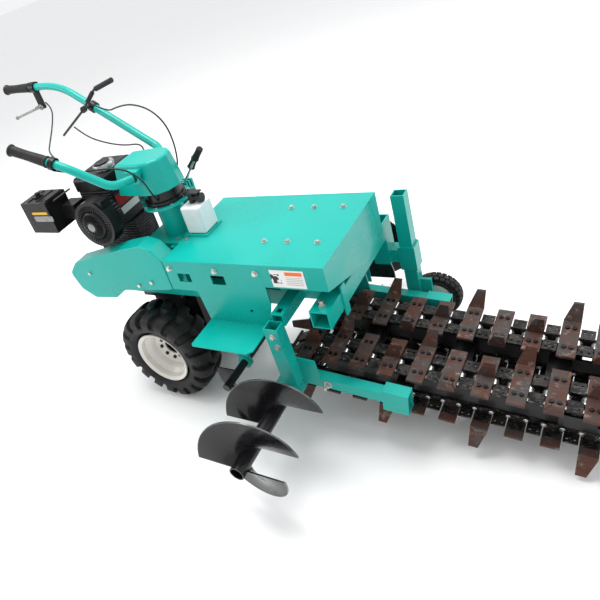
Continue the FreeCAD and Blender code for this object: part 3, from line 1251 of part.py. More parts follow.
# ----------------------------------------- solids of one make share a node
GROUPS = {
    "frame_rails": ["rail_near", "rail_far", "rail_tie", "cover_mount"],
    "front_tube": ["cross_tube_front", "front_strut"],
    "hood_sheet": ["hood", "tray"],
    "frame_bolts": ["hood_bolts", "side_bolts", "tube_clamp_bolts", "cover_bolts", "column_bolts",
                    "post_bolts"],
    "name_plates": ["notice_plate", "engine_plate"],
    "swivel_post": ["column_base", "column"],
    "gear_gate": ["shift_gate", "shift_pin"],
    "rear_hangers": ["shaft_hanger_near", "shaft_hanger_far"],
    "engine": ["engine_base", "engine_block"],
    "air_box": ["air_cleaner", "air_cleaner_knob"],
    "tank": ["fuel_tank", "fuel_cap"],
    "box_fittings": ["box_neck", "box_knob", "box_flap"],
    "gauge_carrier": ["gauge_bracket", "gauge_sleeve"],
    "wheel_hubs": ["drive_axle", "hub_near", "hub_far", "wheel_bolts_near", "wheel_bolts_far"],
    "off_side_bar": ["arm_far", "arm_roots"],
    "lever_mounts": ["perch_near", "perch_far", "squeeze_pin", "rock_bracket"],
    "cables": ["cable_drive", "cable_clutch", "cable_squeeze", "cable_throttle"],
    "long_gear_lever": ["gear_lever_long", "gear_grip_long"],
    "short_gear_lever": ["gear_lever_short", "gear_grip_short"],
    "boom_frame": ["boom_beam", "nose_axle"],
    "chain_near": ["chain_links_outer_near", "chain_links_inner_near"],
    "chain_far": ["chain_links_outer_far", "chain_links_inner_far"],
    "boom_bolts": ["chain_cutter_bolts_near", "chain_cutter_bolts_far", "boom_arm_bolts"],
    "sprockets": ["head_sprocket_near", "head_sprocket_far", "nose_idler_near", "nose_idler_far"],
    "boom_side_near": ["boom_arm_near", "boom_clamp_near"],
    "boom_side_far": ["boom_arm_far", "boom_clamp_far"],
    "auger_shaft": ["head_shaft", "auger_tube_near", "auger_tube_far"],
    "rear_auger": ["rear_shaft", "rear_blades"],
    "gauge_leg": ["gauge_post", "gauge_fork", "gauge_axle"],
}

pieces = {thing.Label: thing for thing in PIECES}
if len(pieces) != len(PIECES):
    raise ValueError("two pieces share a name")
nodes = dict(pieces)
for name, members in GROUPS.items():
    group = doc.addObject("Part::Compound", "Group")
    group.Links = [nodes.pop(member) for member in members]
    group.Label = name
    nodes[name] = group

# -------------------------------------------------------------- check and write
doc.recompute()
for thing in doc.Objects:
    if "Invalid" in thing.State or "Error" in thing.State:
        raise ValueError("failed: " + thing.Name + " " + thing.Label)
for name, thing in nodes.items():
    if thing.Label != name:
        raise ValueError("label taken: " + name)
    if thing.Shape.isNull() or not thing.Shape.isValid() or thing.Shape.Volume <= 0:
        raise ValueError("bad shape: " + name)
os.makedirs("parts", exist_ok=True)
for name, thing in nodes.items():
    thing.Shape.exportStep("parts/%s.step" % name)
whole = FreeCAD.BoundBox()
for thing in nodes.values():
    whole.add(thing.Shape.BoundBox)
print("nodes", len(nodes), "box", [round(value, 2) for value in (
    whole.XMin, whole.XMax, whole.YMin, whole.YMax, whole.ZMin, whole.ZMax)])
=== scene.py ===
import json
import math

import bmesh
import bpy
import numpy as np
from bpy.props import FloatProperty, FloatVectorProperty, IntProperty, PointerProperty
from mathutils import Matrix, Vector


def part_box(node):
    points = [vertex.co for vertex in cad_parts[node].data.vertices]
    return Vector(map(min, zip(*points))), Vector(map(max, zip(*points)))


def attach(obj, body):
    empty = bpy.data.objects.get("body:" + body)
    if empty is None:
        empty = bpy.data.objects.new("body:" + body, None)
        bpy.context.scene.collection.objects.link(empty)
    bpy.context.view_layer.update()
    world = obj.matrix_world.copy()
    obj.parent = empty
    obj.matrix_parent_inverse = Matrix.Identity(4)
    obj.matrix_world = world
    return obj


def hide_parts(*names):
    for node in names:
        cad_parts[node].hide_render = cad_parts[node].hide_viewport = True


bl_info = {
    "name": "Trencher Looks",
    "version": (1, 0, 0),
    "blender": (4, 5, 0),
    "location": "View3D > Sidebar > Trencher",
    "description": "Tyres, grips, cables, engine dress and finishes for a walk-behind trencher",
    "category": "Object",
}

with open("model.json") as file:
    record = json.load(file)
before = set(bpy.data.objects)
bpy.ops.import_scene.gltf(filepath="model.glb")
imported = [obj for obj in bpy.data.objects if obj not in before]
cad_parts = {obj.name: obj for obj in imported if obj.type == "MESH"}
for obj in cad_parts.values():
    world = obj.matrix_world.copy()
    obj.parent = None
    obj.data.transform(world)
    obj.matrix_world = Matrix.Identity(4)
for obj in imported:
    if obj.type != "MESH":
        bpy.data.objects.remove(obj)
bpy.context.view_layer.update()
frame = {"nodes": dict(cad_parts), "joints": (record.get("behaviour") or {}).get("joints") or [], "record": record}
NODES = frame["nodes"]
CHAIN_PITCH = 0.044
STRAIGHT_LINKS = 19
SPROCKET_TEETH = 6
BOOM_DIP = math.radians(5.7)
FIN_PITCH = 0.011
RULE_PITCH = 0.0065
# Radii of the painted highlight along the outer rim of the auger blades
AUGER_HIGHLIGHT_RADII = (0.1485, 0.1515)
BEHIND_COLUMN = (-0.1, -0.05)


# --------------------------------------------------------------- properties
class TrencherPaint(bpy.types.PropertyGroup):
    """Colours of the painted, moulded and worn parts."""

    body: FloatVectorProperty(
        name="Body Paint", description="Gloss paint of the frame and the sheet metal",
        subtype="COLOR", size=3, min=0, max=1, default=(0.001, 0.37, 0.315))
    tool: FloatVectorProperty(
        name="Tool Paint", description="Gloss paint of the augers and the boom",
        subtype="COLOR", size=3, min=0, max=1, default=(0.006, 0.006, 0.007))
    rim: FloatVectorProperty(
        name="Rim Paint", description="Paint of the wheel rims",
        subtype="COLOR", size=3, min=0, max=1, default=(0.80, 0.78, 0.72))
    rust: FloatVectorProperty(
        name="Cutter Rust", description="Brown film on the digging plates",
        subtype="COLOR", size=3, min=0, max=1, default=(0.075, 0.03, 0.02))


class TrencherTread(bpy.types.PropertyGroup):
    """Sizes of the tyre lugs."""

    lugs: IntProperty(
        name="Lugs", description="Lugs round each side of a drive tyre", default=17, min=8, max=40)
    depth: FloatProperty(
        name="Lug Depth", description="Height of a lug above the carcass",
        default=0.017, min=0.004, max=0.03, subtype="DISTANCE", unit="LENGTH")
    blocks: IntProperty(
        name="Gauge Blocks", description="Tread blocks round the gauge tyre", default=26, min=10, max=60)


class TrencherHold(bpy.types.PropertyGroup):
    """Sizes of the hand grips and the cables."""

    ribs: IntProperty(
        name="Grip Ribs", description="Raised rings along a hand grip", default=22, min=6, max=50)
    cable: FloatProperty(
        name="Cable Radius", description="Outer radius of a control cable",
        default=0.003, min=0.001, max=0.006, subtype="DISTANCE", unit="LENGTH")


class TrencherCover(bpy.types.PropertyGroup):
    """Sizes of the starter cover."""

    slots: IntProperty(
        name="Louvres", description="Radial slots round the starter cover", default=36, min=12, max=72)
    relief: FloatProperty(
        name="Slot Depth", description="How deep the slots are pressed",
        default=0.007, min=0.001, max=0.015, subtype="DISTANCE", unit="LENGTH")


# ------------------------------------------------------------------ meshing
def finished(name, mesh, body, material, stands_for=()):
    """Link a mesh as a piece that rides on a body and takes the place of CAD nodes."""
    piece = bpy.data.objects.new(name, mesh)
    bpy.context.scene.collection.objects.link(piece)
    mesh.materials.append(material)
    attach(piece, body)
    if stands_for:
        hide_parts(*stands_for)
    return piece


def quads(rows, columns, round_rows, round_columns):
    """Corner numbers of a grid's faces, joining the last row or column to the first where it is round."""
    row = np.arange(rows if round_rows else rows - 1)
    column = np.arange(columns if round_columns else columns - 1)
    row, column = np.meshgrid(row, column, indexing="ij")
    below = (row + 1) % rows
    beside = (column + 1) % columns
    corners = [row * columns + column, row * columns + beside,
               below * columns + beside, below * columns + column]
    return np.stack(corners, -1).reshape(-1, 4).tolist()


def shell(points, round_rows=False, round_columns=True, ends=True):
    """Points and faces of one grid surface; open row ends are closed with a flat face."""
    rows, columns = points.shape[:2]
    faces = quads(rows, columns, round_rows, round_columns)
    if ends and not round_rows:
        faces.append(list(range(columns)))
        faces.append([(rows - 1) * columns + spot for spot in range(columns)][::-1])
    return points.reshape(-1, 3), faces


def mesh_of(name, shells, crease=40.0):
    """One mesh from several closed shells, faces outwards, sharp where the surface turns more than crease."""
    points, faces, first = [], [], 0
    for part_points, part_faces in shells:
        points.append(part_points)
        faces += [[corner + first for corner in face] for face in part_faces]
        first += len(part_points)
    mesh = bpy.data.meshes.new(name)
    mesh.from_pydata(np.concatenate(points).tolist(), [], faces)
    work = bmesh.new()
    work.from_mesh(mesh)
    bmesh.ops.remove_doubles(work, verts=work.verts, dist=1e-6)
    bmesh.ops.recalc_face_normals(work, faces=work.faces)
    work.to_mesh(mesh)
    work.free()
    mesh.shade_smooth()
    mesh.set_sharp_from_angle(angle=math.radians(crease))
    return mesh


def square_to(direction):
    """Two unit vectors square to a direction and to each other."""
    direction = np.asarray(direction, float)
    helper = np.array([0.0, 0.0, 1.0]) if abs(direction[2]) < 0.9 else np.array([1.0, 0.0, 0.0])
    side = np.cross(helper, direction)
    side /= np.linalg.norm(side)
    return side, np.cross(direction, side)


def turned(start, direction, along, radius, steps=40):
    """start + along * direction + radius * (cos a * side + sin a * up): a profile carried round an axis."""
    direction = np.asarray(direction, float) / np.linalg.norm(direction)
    side, up = square_to(direction)
    angle = np.linspace(0, 2 * np.pi, steps, endpoint=False)
    ring = np.cos(angle)[:, None] * side + np.sin(angle)[:, None] * up
    along, radius = np.asarray(along, float), np.asarray(radius, float)
    middle = np.asarray(start, float) + along[:, None] * direction
    return shell(middle[:, None, :] + radius[:, None, None] * ring[None, :, :])


def pillow(centre, across, up, half_across, half_up, depth, power=6.0, edge=0.15, steps=64):
    """Rounded slab: outline |x/a|^p + |y/b|^p = 1, drawn in towards the middle as it rises by depth."""
    across = np.asarray(across, float) / np.linalg.norm(across)
    up = np.asarray(up, float) / np.linalg.norm(up)
    out = np.cross(across, up)
    angle = np.linspace(0, 2 * np.pi, steps, endpoint=False)
    ring_x = np.sign(np.cos(angle)) * np.abs(np.cos(angle)) ** (2 / power) * half_across
    ring_y = np.sign(np.sin(angle)) * np.abs(np.sin(angle)) ** (2 / power) * half_up
    turn = np.linspace(0, np.pi / 2, 6)
    inset = np.concatenate([[0.0], edge * depth * (1 - np.cos(turn))])
    level = np.concatenate([[0.0], depth * (1 - edge) + edge * depth * np.sin(turn)])
    shrink_x = 1 - inset / half_across
    shrink_y = 1 - inset / half_up
    x = shrink_x[:, None] * ring_x[None, :]
    y = shrink_y[:, None] * ring_y[None, :]
    flat = np.asarray(centre, float) + x[..., None] * across + y[..., None] * up
    return shell(flat + level[:, None, None] * out)


def corners_of(node):
    """Every corner of a CAD node as rows of x, y, z."""
    mesh = NODES[node].data
    flat = np.zeros(len(mesh.vertices) * 3)
    mesh.vertices.foreach_get("co", flat)
    return flat.reshape(-1, 3)


def long_axis(points):
    """Start, direction, length and radius of a round bar, along its corners' greatest spread."""
    spread = points - points.mean(0)
    frame_axes = np.linalg.svd(spread, full_matrices=False)[2]
    turned_points = points @ frame_axes.T
    low, high = turned_points.min(0), turned_points.max(0)
    middle = (low + high) / 2
    start = np.array([low[0], middle[1], middle[2]]) @ frame_axes
    return start, frame_axes[0], high[0] - low[0], (high - low)[1:].mean() / 2


# ---------------------------------------------------------------- materials
class Finish:
    """A node material on Object coordinates, with short names for the nodes that these finishes share."""

    def __init__(self, name, metallic=0.0, coat=0.0):
        self.material = bpy.data.materials.new(name)
        self.material.use_nodes = True
        self.tree = self.material.node_tree
        self.shader = self.tree.nodes["Principled BSDF"]
        self.shader.inputs["Metallic"].default_value = metallic
        self.shader.inputs["Coat Weight"].default_value = coat
        self.shader.inputs["Coat Roughness"].default_value = 0.08
        self.shader.inputs["Specular IOR Level"].default_value = 0.28
        self.place = self.tree.nodes.new("ShaderNodeTexCoord").outputs["Object"]

    def put(self, socket, value):
        """Join an output to a socket, or write a plain value into it."""
        if isinstance(value, bpy.types.NodeSocket):
            self.tree.links.new(value, socket)
        elif hasattr(value, "__len__") and len(value) == 3 and socket.type == "RGBA":
            socket.default_value = (*value, 1.0)
        else:
            socket.default_value = value

    def noise(self, scale, detail=4.0, stretch=(1, 1, 1), rough=0.55):
        """Cloudy noise from 0 to 1, stretched along the axes."""
        mapping = self.tree.nodes.new("ShaderNodeMapping")
        mapping.inputs["Scale"].default_value = stretch
        self.put(mapping.inputs["Vector"], self.place)
        node = self.tree.nodes.new("ShaderNodeTexNoise")
        node.inputs["Scale"].default_value = scale
        node.inputs["Detail"].default_value = detail
        node.inputs["Roughness"].default_value = rough
        self.put(node.inputs["Vector"], mapping.outputs["Vector"])
        return node.outputs["Fac"]

    def span(self, value, low, high, to_low=0.0, to_high=1.0):
        """The value's stretch from low to high laid over to_low to to_high, smoothly."""
        node = self.tree.nodes.new("ShaderNodeMapRange")
        node.interpolation_type = "SMOOTHSTEP"
        self.put(node.inputs["Value"], value)
        for name, number in zip(("From Min", "From Max", "To Min", "To Max"), (low, high, to_low, to_high)):
            node.inputs[name].default_value = number
        return node.outputs["Result"]

    def maths(self, operation, one, two=0.0):
        """One sum on two numbers."""
        node = self.tree.nodes.new("ShaderNodeMath")
        node.operation = operation
        self.put(node.inputs[0], one)
        self.put(node.inputs[1], two)
        return node.outputs[0]

    def axis(self, letter):
        """One of the row's X, Y or Z, in metres."""
        node = self.tree.nodes.new("ShaderNodeSeparateXYZ")
        self.put(node.inputs[0], self.place)
        return node.outputs[letter]

    def from_axle(self, along, across):
        """Distance from a line along Y, in metres."""
        one = self.maths("SUBTRACT", self.axis("X"), along)
        two = self.maths("SUBTRACT", self.axis("Z"), across)
        squares = self.maths("ADD", self.maths("MULTIPLY", one, one), self.maths("MULTIPLY", two, two))
        return self.maths("SQRT", squares)

    def mix(self, share, one, two):
        """Colour one where share is 0 and colour two where it is 1."""
        node = self.tree.nodes.new("ShaderNodeMix")
        node.data_type = "RGBA"
        self.put(node.inputs["Factor"], share)
        colours = [socket for socket in node.inputs if socket.type == "RGBA"]
        self.put(colours[0], one)
        self.put(colours[1], two)
        return [socket for socket in node.outputs if socket.type == "RGBA"][0]

    def inside(self, letter, low, high, edge=0.0006):
        """1 between two places along an axis and 0 outside them."""
        place = self.axis(letter)
        return self.maths("MULTIPLY", self.span(place, low - edge, low + edge),
                          self.span(place, high - edge, high + edge, 1.0, 0.0))

    def colour(self, value):
        self.put(self.shader.inputs["Base Color"], value)

    def rough(self, value):
        self.put(self.shader.inputs["Roughness"], value)

    def bump(self, height, strength=0.3, distance=0.001):
        """Surface relief from a height pattern."""
        node = self.tree.nodes.new("ShaderNodeBump")
        node.inputs["Strength"].default_value = strength
        node.inputs["Distance"].default_value = distance
        self.put(node.inputs["Height"], height)
        self.put(self.shader.inputs["Normal"], node.outputs["Normal"])


def shade(colour, share):
    """A colour made lighter or darker."""
    return tuple(min(1.0, part * share) for part in colour)


def gloss_paint(name, colour, dust=0.12):
    """Sprayed gloss paint: slow tone drift, orange peel, soft cloudy wear and dust low down."""
    finish = Finish(name, coat=0.12)
    drift = finish.span(finish.noise(3.0, 3), 0.3, 0.7)
    rubbed = finish.span(finish.noise(9, 3), 0.35, 0.75)
    height = finish.axis("Z")
    uneven = finish.maths("MULTIPLY", finish.noise(9, 5), 0.3)
    soil = finish.span(finish.maths("ADD", height, uneven), 0.2, 0.6, dust, 0.0)
    painted = finish.mix(drift, shade(colour, 0.93), shade(colour, 1.06))
    painted = finish.mix(finish.maths("MULTIPLY", rubbed, 0.15), painted, shade(colour, 1.15))
    finish.colour(finish.mix(soil, painted, (0.12, 0.10, 0.08)))
    finish.rough(finish.span(finish.maths("ADD", drift, rubbed), 0.0, 2.0, 0.26, 0.46))
    finish.bump(finish.noise(420, 2), 0.06, 0.0004)
    return finish.material


def auger_paint(name, colour):
    """Black gloss with a painted highlight of light metallic grey along the rim of each blade, scraped in streaks
    on its faces.
    """
    finish = Finish(name, coat=0.22)
    low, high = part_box("auger_shaft")
    middle = (low + high) / 2
    reach = finish.from_axle(middle.x, middle.z)
    # rim: painted highlight, a band of light metallic grey at the blades' outer radius
    rim = finish.span(finish.maths("ADD", reach, finish.maths("MULTIPLY", finish.noise(90, 4), 0.004)),
                      *AUGER_HIGHLIGHT_RADII)
    scrape = finish.span(finish.noise(30, 8, (3, 0.2, 0.6), 0.75), 0.64, 0.76, 0.0, 0.22)
    finish.colour(finish.mix(finish.maths("MAXIMUM", rim, scrape), colour, (0.16, 0.16, 0.16)))
    finish.rough(finish.span(finish.noise(14, 5), 0.35, 0.7, 0.16, 0.34))
    finish.put(finish.shader.inputs["Metallic"], finish.maths("MULTIPLY", rim, 0.8))
    finish.bump(finish.noise(240, 3), 0.08, 0.0004)
    return finish.material


def black_enamel(name, colour):
    """Black paint on cast and welded parts: chips, dust and a fine grain."""
    finish = Finish(name, coat=0.15)
    chips = finish.span(finish.noise(70, 7, rough=0.7), 0.66, 0.70)
    dust = finish.span(finish.noise(12, 6), 0.42, 0.75, 0.0, 0.4)
    worn = finish.mix(chips, colour, (0.09, 0.075, 0.065))
    finish.colour(finish.mix(dust, worn, (0.022, 0.020, 0.018)))
    finish.rough(finish.span(dust, 0.0, 0.4, 0.3, 0.5))
    finish.bump(finish.noise(300, 4), 0.15, 0.0006)
    return finish.material


def worn_plate(name, rust):
    """Forged digging plates: dark scale, red brown film in patches and rubbed grey steel."""
    finish = Finish(name, metallic=0.25)
    patches = finish.span(finish.noise(16, 7, rough=0.65), 0.42, 0.58)
    rubbed = finish.span(finish.noise(38, 8, rough=0.75), 0.54, 0.66)
    streaks = finish.span(finish.noise(22, 6, (0.5, 4, 4), 0.7), 0.5, 0.72)
    base = finish.mix(patches, (0.055, 0.050, 0.048), rust)
    base = finish.mix(finish.maths("MULTIPLY", rubbed, 0.6), base, (0.26, 0.20, 0.17))
    finish.colour(finish.mix(finish.maths("MULTIPLY", streaks, 0.4), base, shade(rust, 2.4)))
    finish.rough(finish.span(rubbed, 0.0, 1.0, 0.62, 0.36))
    finish.bump(finish.maths("ADD", finish.noise(130, 6), patches), 0.35, 0.0012)
    return finish.material


def bare_steel(name, colour, roughness=0.28, stain=0.3):
    """Plated or rolled steel: cloudy tone, fine drawn lines and a little brown at random."""
    finish = Finish(name, metallic=0.85)
    cloud = finish.span(finish.noise(45, 5), 0.3, 0.7)
    spots = finish.span(finish.noise(120, 6, rough=0.7), 0.6, 0.72, 0.0, stain)
    toned = finish.mix(cloud, shade(colour, 0.75), shade(colour, 1.15))
    finish.colour(finish.mix(spots, toned, (0.16, 0.09, 0.05)))
    finish.rough(finish.span(cloud, 0.0, 1.0, roughness, roughness + 0.18))
    finish.bump(finish.noise(500, 3, (1, 0.1, 1)), 0.1, 0.0003)
    return finish.material


def chain_steel(name):
    """Oiled black link plates with a patchy painted sheen in light grey and grime between."""
    finish = Finish(name, metallic=0.55)
    grime = finish.span(finish.noise(32, 6), 0.38, 0.68)
    # painted sheen: light grey patches painted into the colour of the oiled plates
    painted_sheen = finish.span(finish.noise(85, 5, (1, 3, 1)), 0.56, 0.66, 0.0, 0.7)
    base = finish.mix(grime, (0.012, 0.012, 0.013), (0.045, 0.038, 0.034))
    finish.colour(finish.mix(painted_sheen, base, (0.16, 0.155, 0.15)))
    finish.rough(finish.span(grime, 0.0, 1.0, 0.28, 0.55))
    finish.bump(finish.noise(260, 4), 0.2, 0.0006)
    return finish.material


def moulded(name, colour, roughness=0.5, grain=900.0):
    """Moulded plastic: fine spark grain, a soft sheen and faint dust."""
    finish = Finish(name)
    dust = finish.span(finish.noise(18, 6), 0.45, 0.8, 0.0, 0.35)
    finish.colour(finish.mix(dust, colour, tuple(0.8 * part + 0.007 for part in colour)))
    finish.rough(finish.span(finish.noise(30, 4), 0.3, 0.7, roughness - 0.07, roughness + 0.1))
    finish.bump(finish.noise(grain, 2), 0.18, 0.0003)
    return finish.material


def tyre_rubber(name):
    """Black rubber greyed by dry dust in the grooves, with a scuffed fine grain."""
    finish = Finish(name)
    dust = finish.span(finish.noise(14, 7, rough=0.65), 0.4, 0.75)
    scuff = finish.span(finish.noise(70, 6), 0.5, 0.7)
    base = finish.mix(dust, (0.007, 0.007, 0.008), (0.022, 0.021, 0.020))
    finish.colour(finish.mix(finish.maths("MULTIPLY", scuff, 0.4), base, (0.016, 0.016, 0.016)))
    finish.rough(finish.span(dust, 0.0, 1.0, 0.5, 0.78))
    finish.bump(finish.noise(350, 4), 0.25, 0.0005)
    return finish.material


def cast_block(name):
    """Engine castings: cooling fins as close ridges across Z, black enamel with bare grey at random."""
    finish = Finish(name, metallic=0.2)
    ridge = finish.maths("SINE", finish.maths("MULTIPLY", finish.axis("Z"), 2 * math.pi / FIN_PITCH))
    bare = finish.span(finish.noise(24, 6), 0.58, 0.7)
    finish.colour(finish.mix(bare, (0.010, 0.010, 0.011), (0.05, 0.05, 0.052)))
    finish.rough(finish.span(finish.noise(50, 4), 0.3, 0.7, 0.35, 0.6))
    finish.bump(finish.maths("ADD", ridge, finish.noise(200, 5)), 0.9, 0.003)
    return finish.material


def bolt_plate(name, dark):
    """Boom bolts: bright plate on the side arms, black and oily on the plates between them."""
    finish = Finish(name, metallic=0.8)
    outer = finish.span(finish.maths("ABSOLUTE", finish.axis("Y")), 0.2065, 0.2085)
    cloud = finish.noise(90, 5)
    bright = finish.mix(cloud, (0.42, 0.41, 0.39), (0.68, 0.67, 0.64))
    finish.colour(finish.mix(outer, finish.mix(cloud, dark, shade(dark, 2.4)), bright))
    finish.rough(finish.span(cloud, 0.3, 0.7, 0.24, 0.42))
    finish.bump(finish.noise(400, 3), 0.1, 0.0003)
    return finish.material


def cable_skin(name):
    """Black cable jacket with a fine grain and dull scuffs."""
    finish = Finish(name)
    scuff = finish.span(finish.noise(40, 5), 0.45, 0.7)
    finish.colour(finish.mix(scuff, (0.010, 0.010, 0.011), (0.03, 0.03, 0.031)))
    finish.rough(finish.span(scuff, 0.0, 1.0, 0.3, 0.5))
    finish.bump(finish.noise(500, 2), 0.12, 0.0002)
    return finish.material


def notice_plate(name):
    """Bright plates: an orange field, ruled lines and a mottled field, or red and silver bands. No words."""
    finish = Finish(name, metallic=0.1)
    low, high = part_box("name_plates")
    top = finish.inside("X", high.x - 0.062, high.x - 0.006)
    head = finish.maths("MULTIPLY", top, finish.inside("Z", 0.632, 0.645))
    wave = finish.maths("SINE", finish.maths("MULTIPLY", finish.axis("Z"), 2 * math.pi / RULE_PITCH))
    rows = finish.maths("MULTIPLY", finish.span(wave, 0.3, 0.6), finish.inside("Z", 0.596, 0.626))
    rows = finish.maths("MULTIPLY", rows, top)
    block = finish.maths("MULTIPLY", finish.inside("X", high.x - 0.118, high.x - 0.078),
                         finish.inside("Z", 0.602, 0.636))
    base = finish.mix(finish.noise(20, 4), (0.72, 0.72, 0.70), (0.84, 0.84, 0.82))
    base = finish.mix(finish.maths("MULTIPLY", rows, 0.6), base, (0.08, 0.08, 0.08))
    base = finish.mix(finish.maths("MULTIPLY", block, finish.span(finish.noise(60, 1), 0.45, 0.5)), base,
                      (0.03, 0.03, 0.03))
    base = finish.mix(head, base, (0.85, 0.16, 0.02))
    rear = finish.span(finish.axis("X"), *BEHIND_COLUMN, 1.0, 0.0)
    red = finish.inside("Z", high.z - 0.062, high.z - 0.018)
    silver = finish.inside("Z", high.z - 0.098, high.z - 0.070)
    across = finish.inside("Y", low.y + 0.138, high.y - 0.012)
    cover = finish.mix(finish.maths("MULTIPLY", red, across), (0.010, 0.010, 0.011), (0.30, 0.012, 0.012))
    cover = finish.mix(finish.maths("MULTIPLY", silver, across), cover, (0.55, 0.55, 0.54))
    finish.colour(finish.mix(rear, base, cover))
    finish.rough(finish.span(finish.noise(80, 3), 0.3, 0.7, 0.28, 0.4))
    return finish.material


def finishes():
    """Every finish of the machine, by the name of its material slot or of the piece it is kept for."""
    scene = bpy.context.scene
    paint = scene.trencher_paint
    body, tool = tuple(paint.body), tuple(paint.tool)
    return {
        "teal_paint": gloss_paint("Teal Gloss", body),
        "black_paint": black_enamel("Black Enamel", tool),
        "engine_casting": cast_block("Finned Casting"),
        "shroud_plastic": moulded("Shroud Plastic", (0.006, 0.006, 0.0065), 0.34),
        "worn_steel": worn_plate("Worn Cutter Plate", tuple(paint.rust)),
        "chain_steel": chain_steel("Oiled Chain Steel"),
        "zinc_plate": bolt_plate("Bolt Plate", (0.02, 0.02, 0.021)),
        "tyre_rubber": tyre_rubber("Tyre Rubber"),
        "cream_paint": gloss_paint("Cream Rim Paint", tuple(paint.rim), 0.25),
        "soft_rubber": moulded("Grip Rubber", (0.014, 0.014, 0.015), 0.55, 500.0),
        "bright_alloy": bare_steel("Polished Alloy", (0.30, 0.30, 0.30), 0.34, 0.05),
        "white_plastic": moulded("White Moulding", (0.74, 0.76, 0.78), 0.3),
        "black_gloss": moulded("Black Gloss Moulding", (0.010, 0.010, 0.011), 0.2),
        "bright_steel": bare_steel("Drawn Rod", (0.6, 0.6, 0.6), 0.18, 0.12),
        "muffler_steel": bare_steel("Heat Stained Steel", (0.16, 0.14, 0.12), 0.4, 0.8),
        "bolts": bare_steel("Bright Bolt Plate", (0.62, 0.60, 0.56), 0.2, 0.75),
        "auger": auger_paint("Auger Gloss", tool),
        "cable": cable_skin("Cable Jacket"),
        "plates": notice_plate("Blank Notice Plate"),
        "yellow": moulded("Yellow Plate", (0.72, 0.42, 0.02), 0.35),
        "cap": bare_steel("Spun Cap", (0.45, 0.45, 0.46), 0.3, 0.15),
    }


FINISH = {}
DRESSED_APART = {
    "auger_shaft": "auger", "auger_blades_near": "auger", "auger_blades_far": "auger",
    "name_plates": "plates", "frame_bolts": "bolts",
}


class TRENCHER_OT_finish(bpy.types.Operator):
    """Give every CAD node the procedural finish of its slot."""

    bl_idname = "trencher.finish"
    bl_label = "Finish CAD Nodes"

    def execute(self, context):
        FINISH.update(finishes())
        slots = {part["node"]: part["material_slot"] for part in frame["record"]["subparts"]}
        for node, thing in NODES.items():
            material = FINISH[DRESSED_APART.get(node, slots[node])]
            for place in thing.material_slots:
                place.material = material
        return {"FINISHED"}


# -------------------------------------------------------------------- tyres
def tyre_points(middle, outer, inner, width, relief, rows=520, columns=72):
    """Ring whose section is |y/w|^p + |r/h|^p = 1, cut in by relief(angle, sideways) on the tread."""
    angle = np.linspace(0, 2 * np.pi, rows, endpoint=False)[:, None]
    section = np.linspace(0, 2 * np.pi, columns, endpoint=False)[None, :]
    power = 2 / 3.1
    flat = np.sign(np.cos(section)) * np.abs(np.cos(section)) ** power
    rise = np.sign(np.sin(section)) * np.abs(np.sin(section)) ** power
    half = (outer - inner) / 2
    tread = np.clip((rise + 0.15) / 0.5, 0, 1)
    lift = relief(angle, flat + 0 * angle) * tread
    radius = (outer + inner) / 2 + half * rise - lift
    sideways = width / 2 * flat * (1 - 0.10 * np.clip(-rise, 0, 1)) * (1 - 0.35 * lift / half)
    points = np.stack([radius * np.sin(angle), sideways + 0 * angle, radius * np.cos(angle)], -1)
    return points + np.asarray(middle)


def edge(wave, width=0.12):
    """0 below the edge of a wave and 1 above it, with a short ramp between."""
    ramp = np.clip(wave / width * 0.5 + 0.5, 0, 1)
    return ramp * ramp * (3 - 2 * ramp)


def chevron_lugs(count, depth, hand):
    """Groove depth between lugs that lean back from the middle: the wave count * angle + lean * |y|."""
    def relief(angle, flat):
        halves = np.where(flat > 0, 0.5, 0.0)
        wave = np.sin(count * angle + hand * 2.2 * np.abs(flat) + 2 * np.pi * halves)
        groove = 1 - edge(wave + 0.28)
        rib = edge(0.10 - np.abs(flat), 0.08)
        return depth * np.clip(groove * (1 - 0.55 * rib), 0, 1)
    return relief


def block_tread(count, depth):
    """Grooves between square blocks: three rows, each set half a block round from its neighbour."""
    def relief(angle, flat):
        row = np.floor((flat + 1) * 1.5)
        across = np.abs(((flat + 1) * 1.5) % 1 - 0.5)
        round_groove = edge(across - 0.43, 0.06)
        cross_groove = 1 - edge(np.abs(np.sin(count * angle / 2 + row * np.pi / 2)) - 0.2, 0.16)
        return depth * np.maximum(round_groove, cross_groove)
    return relief


class TRENCHER_OT_tyres(bpy.types.Operator):
    """Lugged drive tyres and the block tread gauge tyre."""

    bl_idname = "trencher.tyres"
    bl_label = "Make Tyres"

    def execute(self, context):
        tread = context.scene.trencher_tread
        for node, hand in (("tyre_near", 1), ("tyre_far", -1)):
            low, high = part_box(node)
            middle = (low + high) / 2
            inner = (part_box("rim_near")[1].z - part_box("rim_near")[0].z) / 2 - 0.004
            relief = chevron_lugs(tread.lugs, tread.depth, hand)
            points = tyre_points(middle, high.z - middle.z, inner, high.y - low.y, relief)
            mesh = mesh_of("lugged_" + node, [shell(points, True, True)], crease=50)
            finished("lugged_" + node, mesh, "wheelset", FINISH["tyre_rubber"], [node])
        low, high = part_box("gauge_tyre")
        middle = (low + high) / 2
        inner = (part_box("gauge_rim")[1].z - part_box("gauge_rim")[0].z) / 2 - 0.003
        relief = block_tread(tread.blocks, 0.007)
        points = tyre_points(middle, high.z - middle.z, inner, high.y - low.y, relief, 360, 56)
        mesh = mesh_of("blocked_gauge_tyre", [shell(points, True, True)], crease=50)
        finished("blocked_gauge_tyre", mesh, "gauge_wheel", FINISH["tyre_rubber"],
                 ["gauge_tyre"])
        return {"FINISHED"}


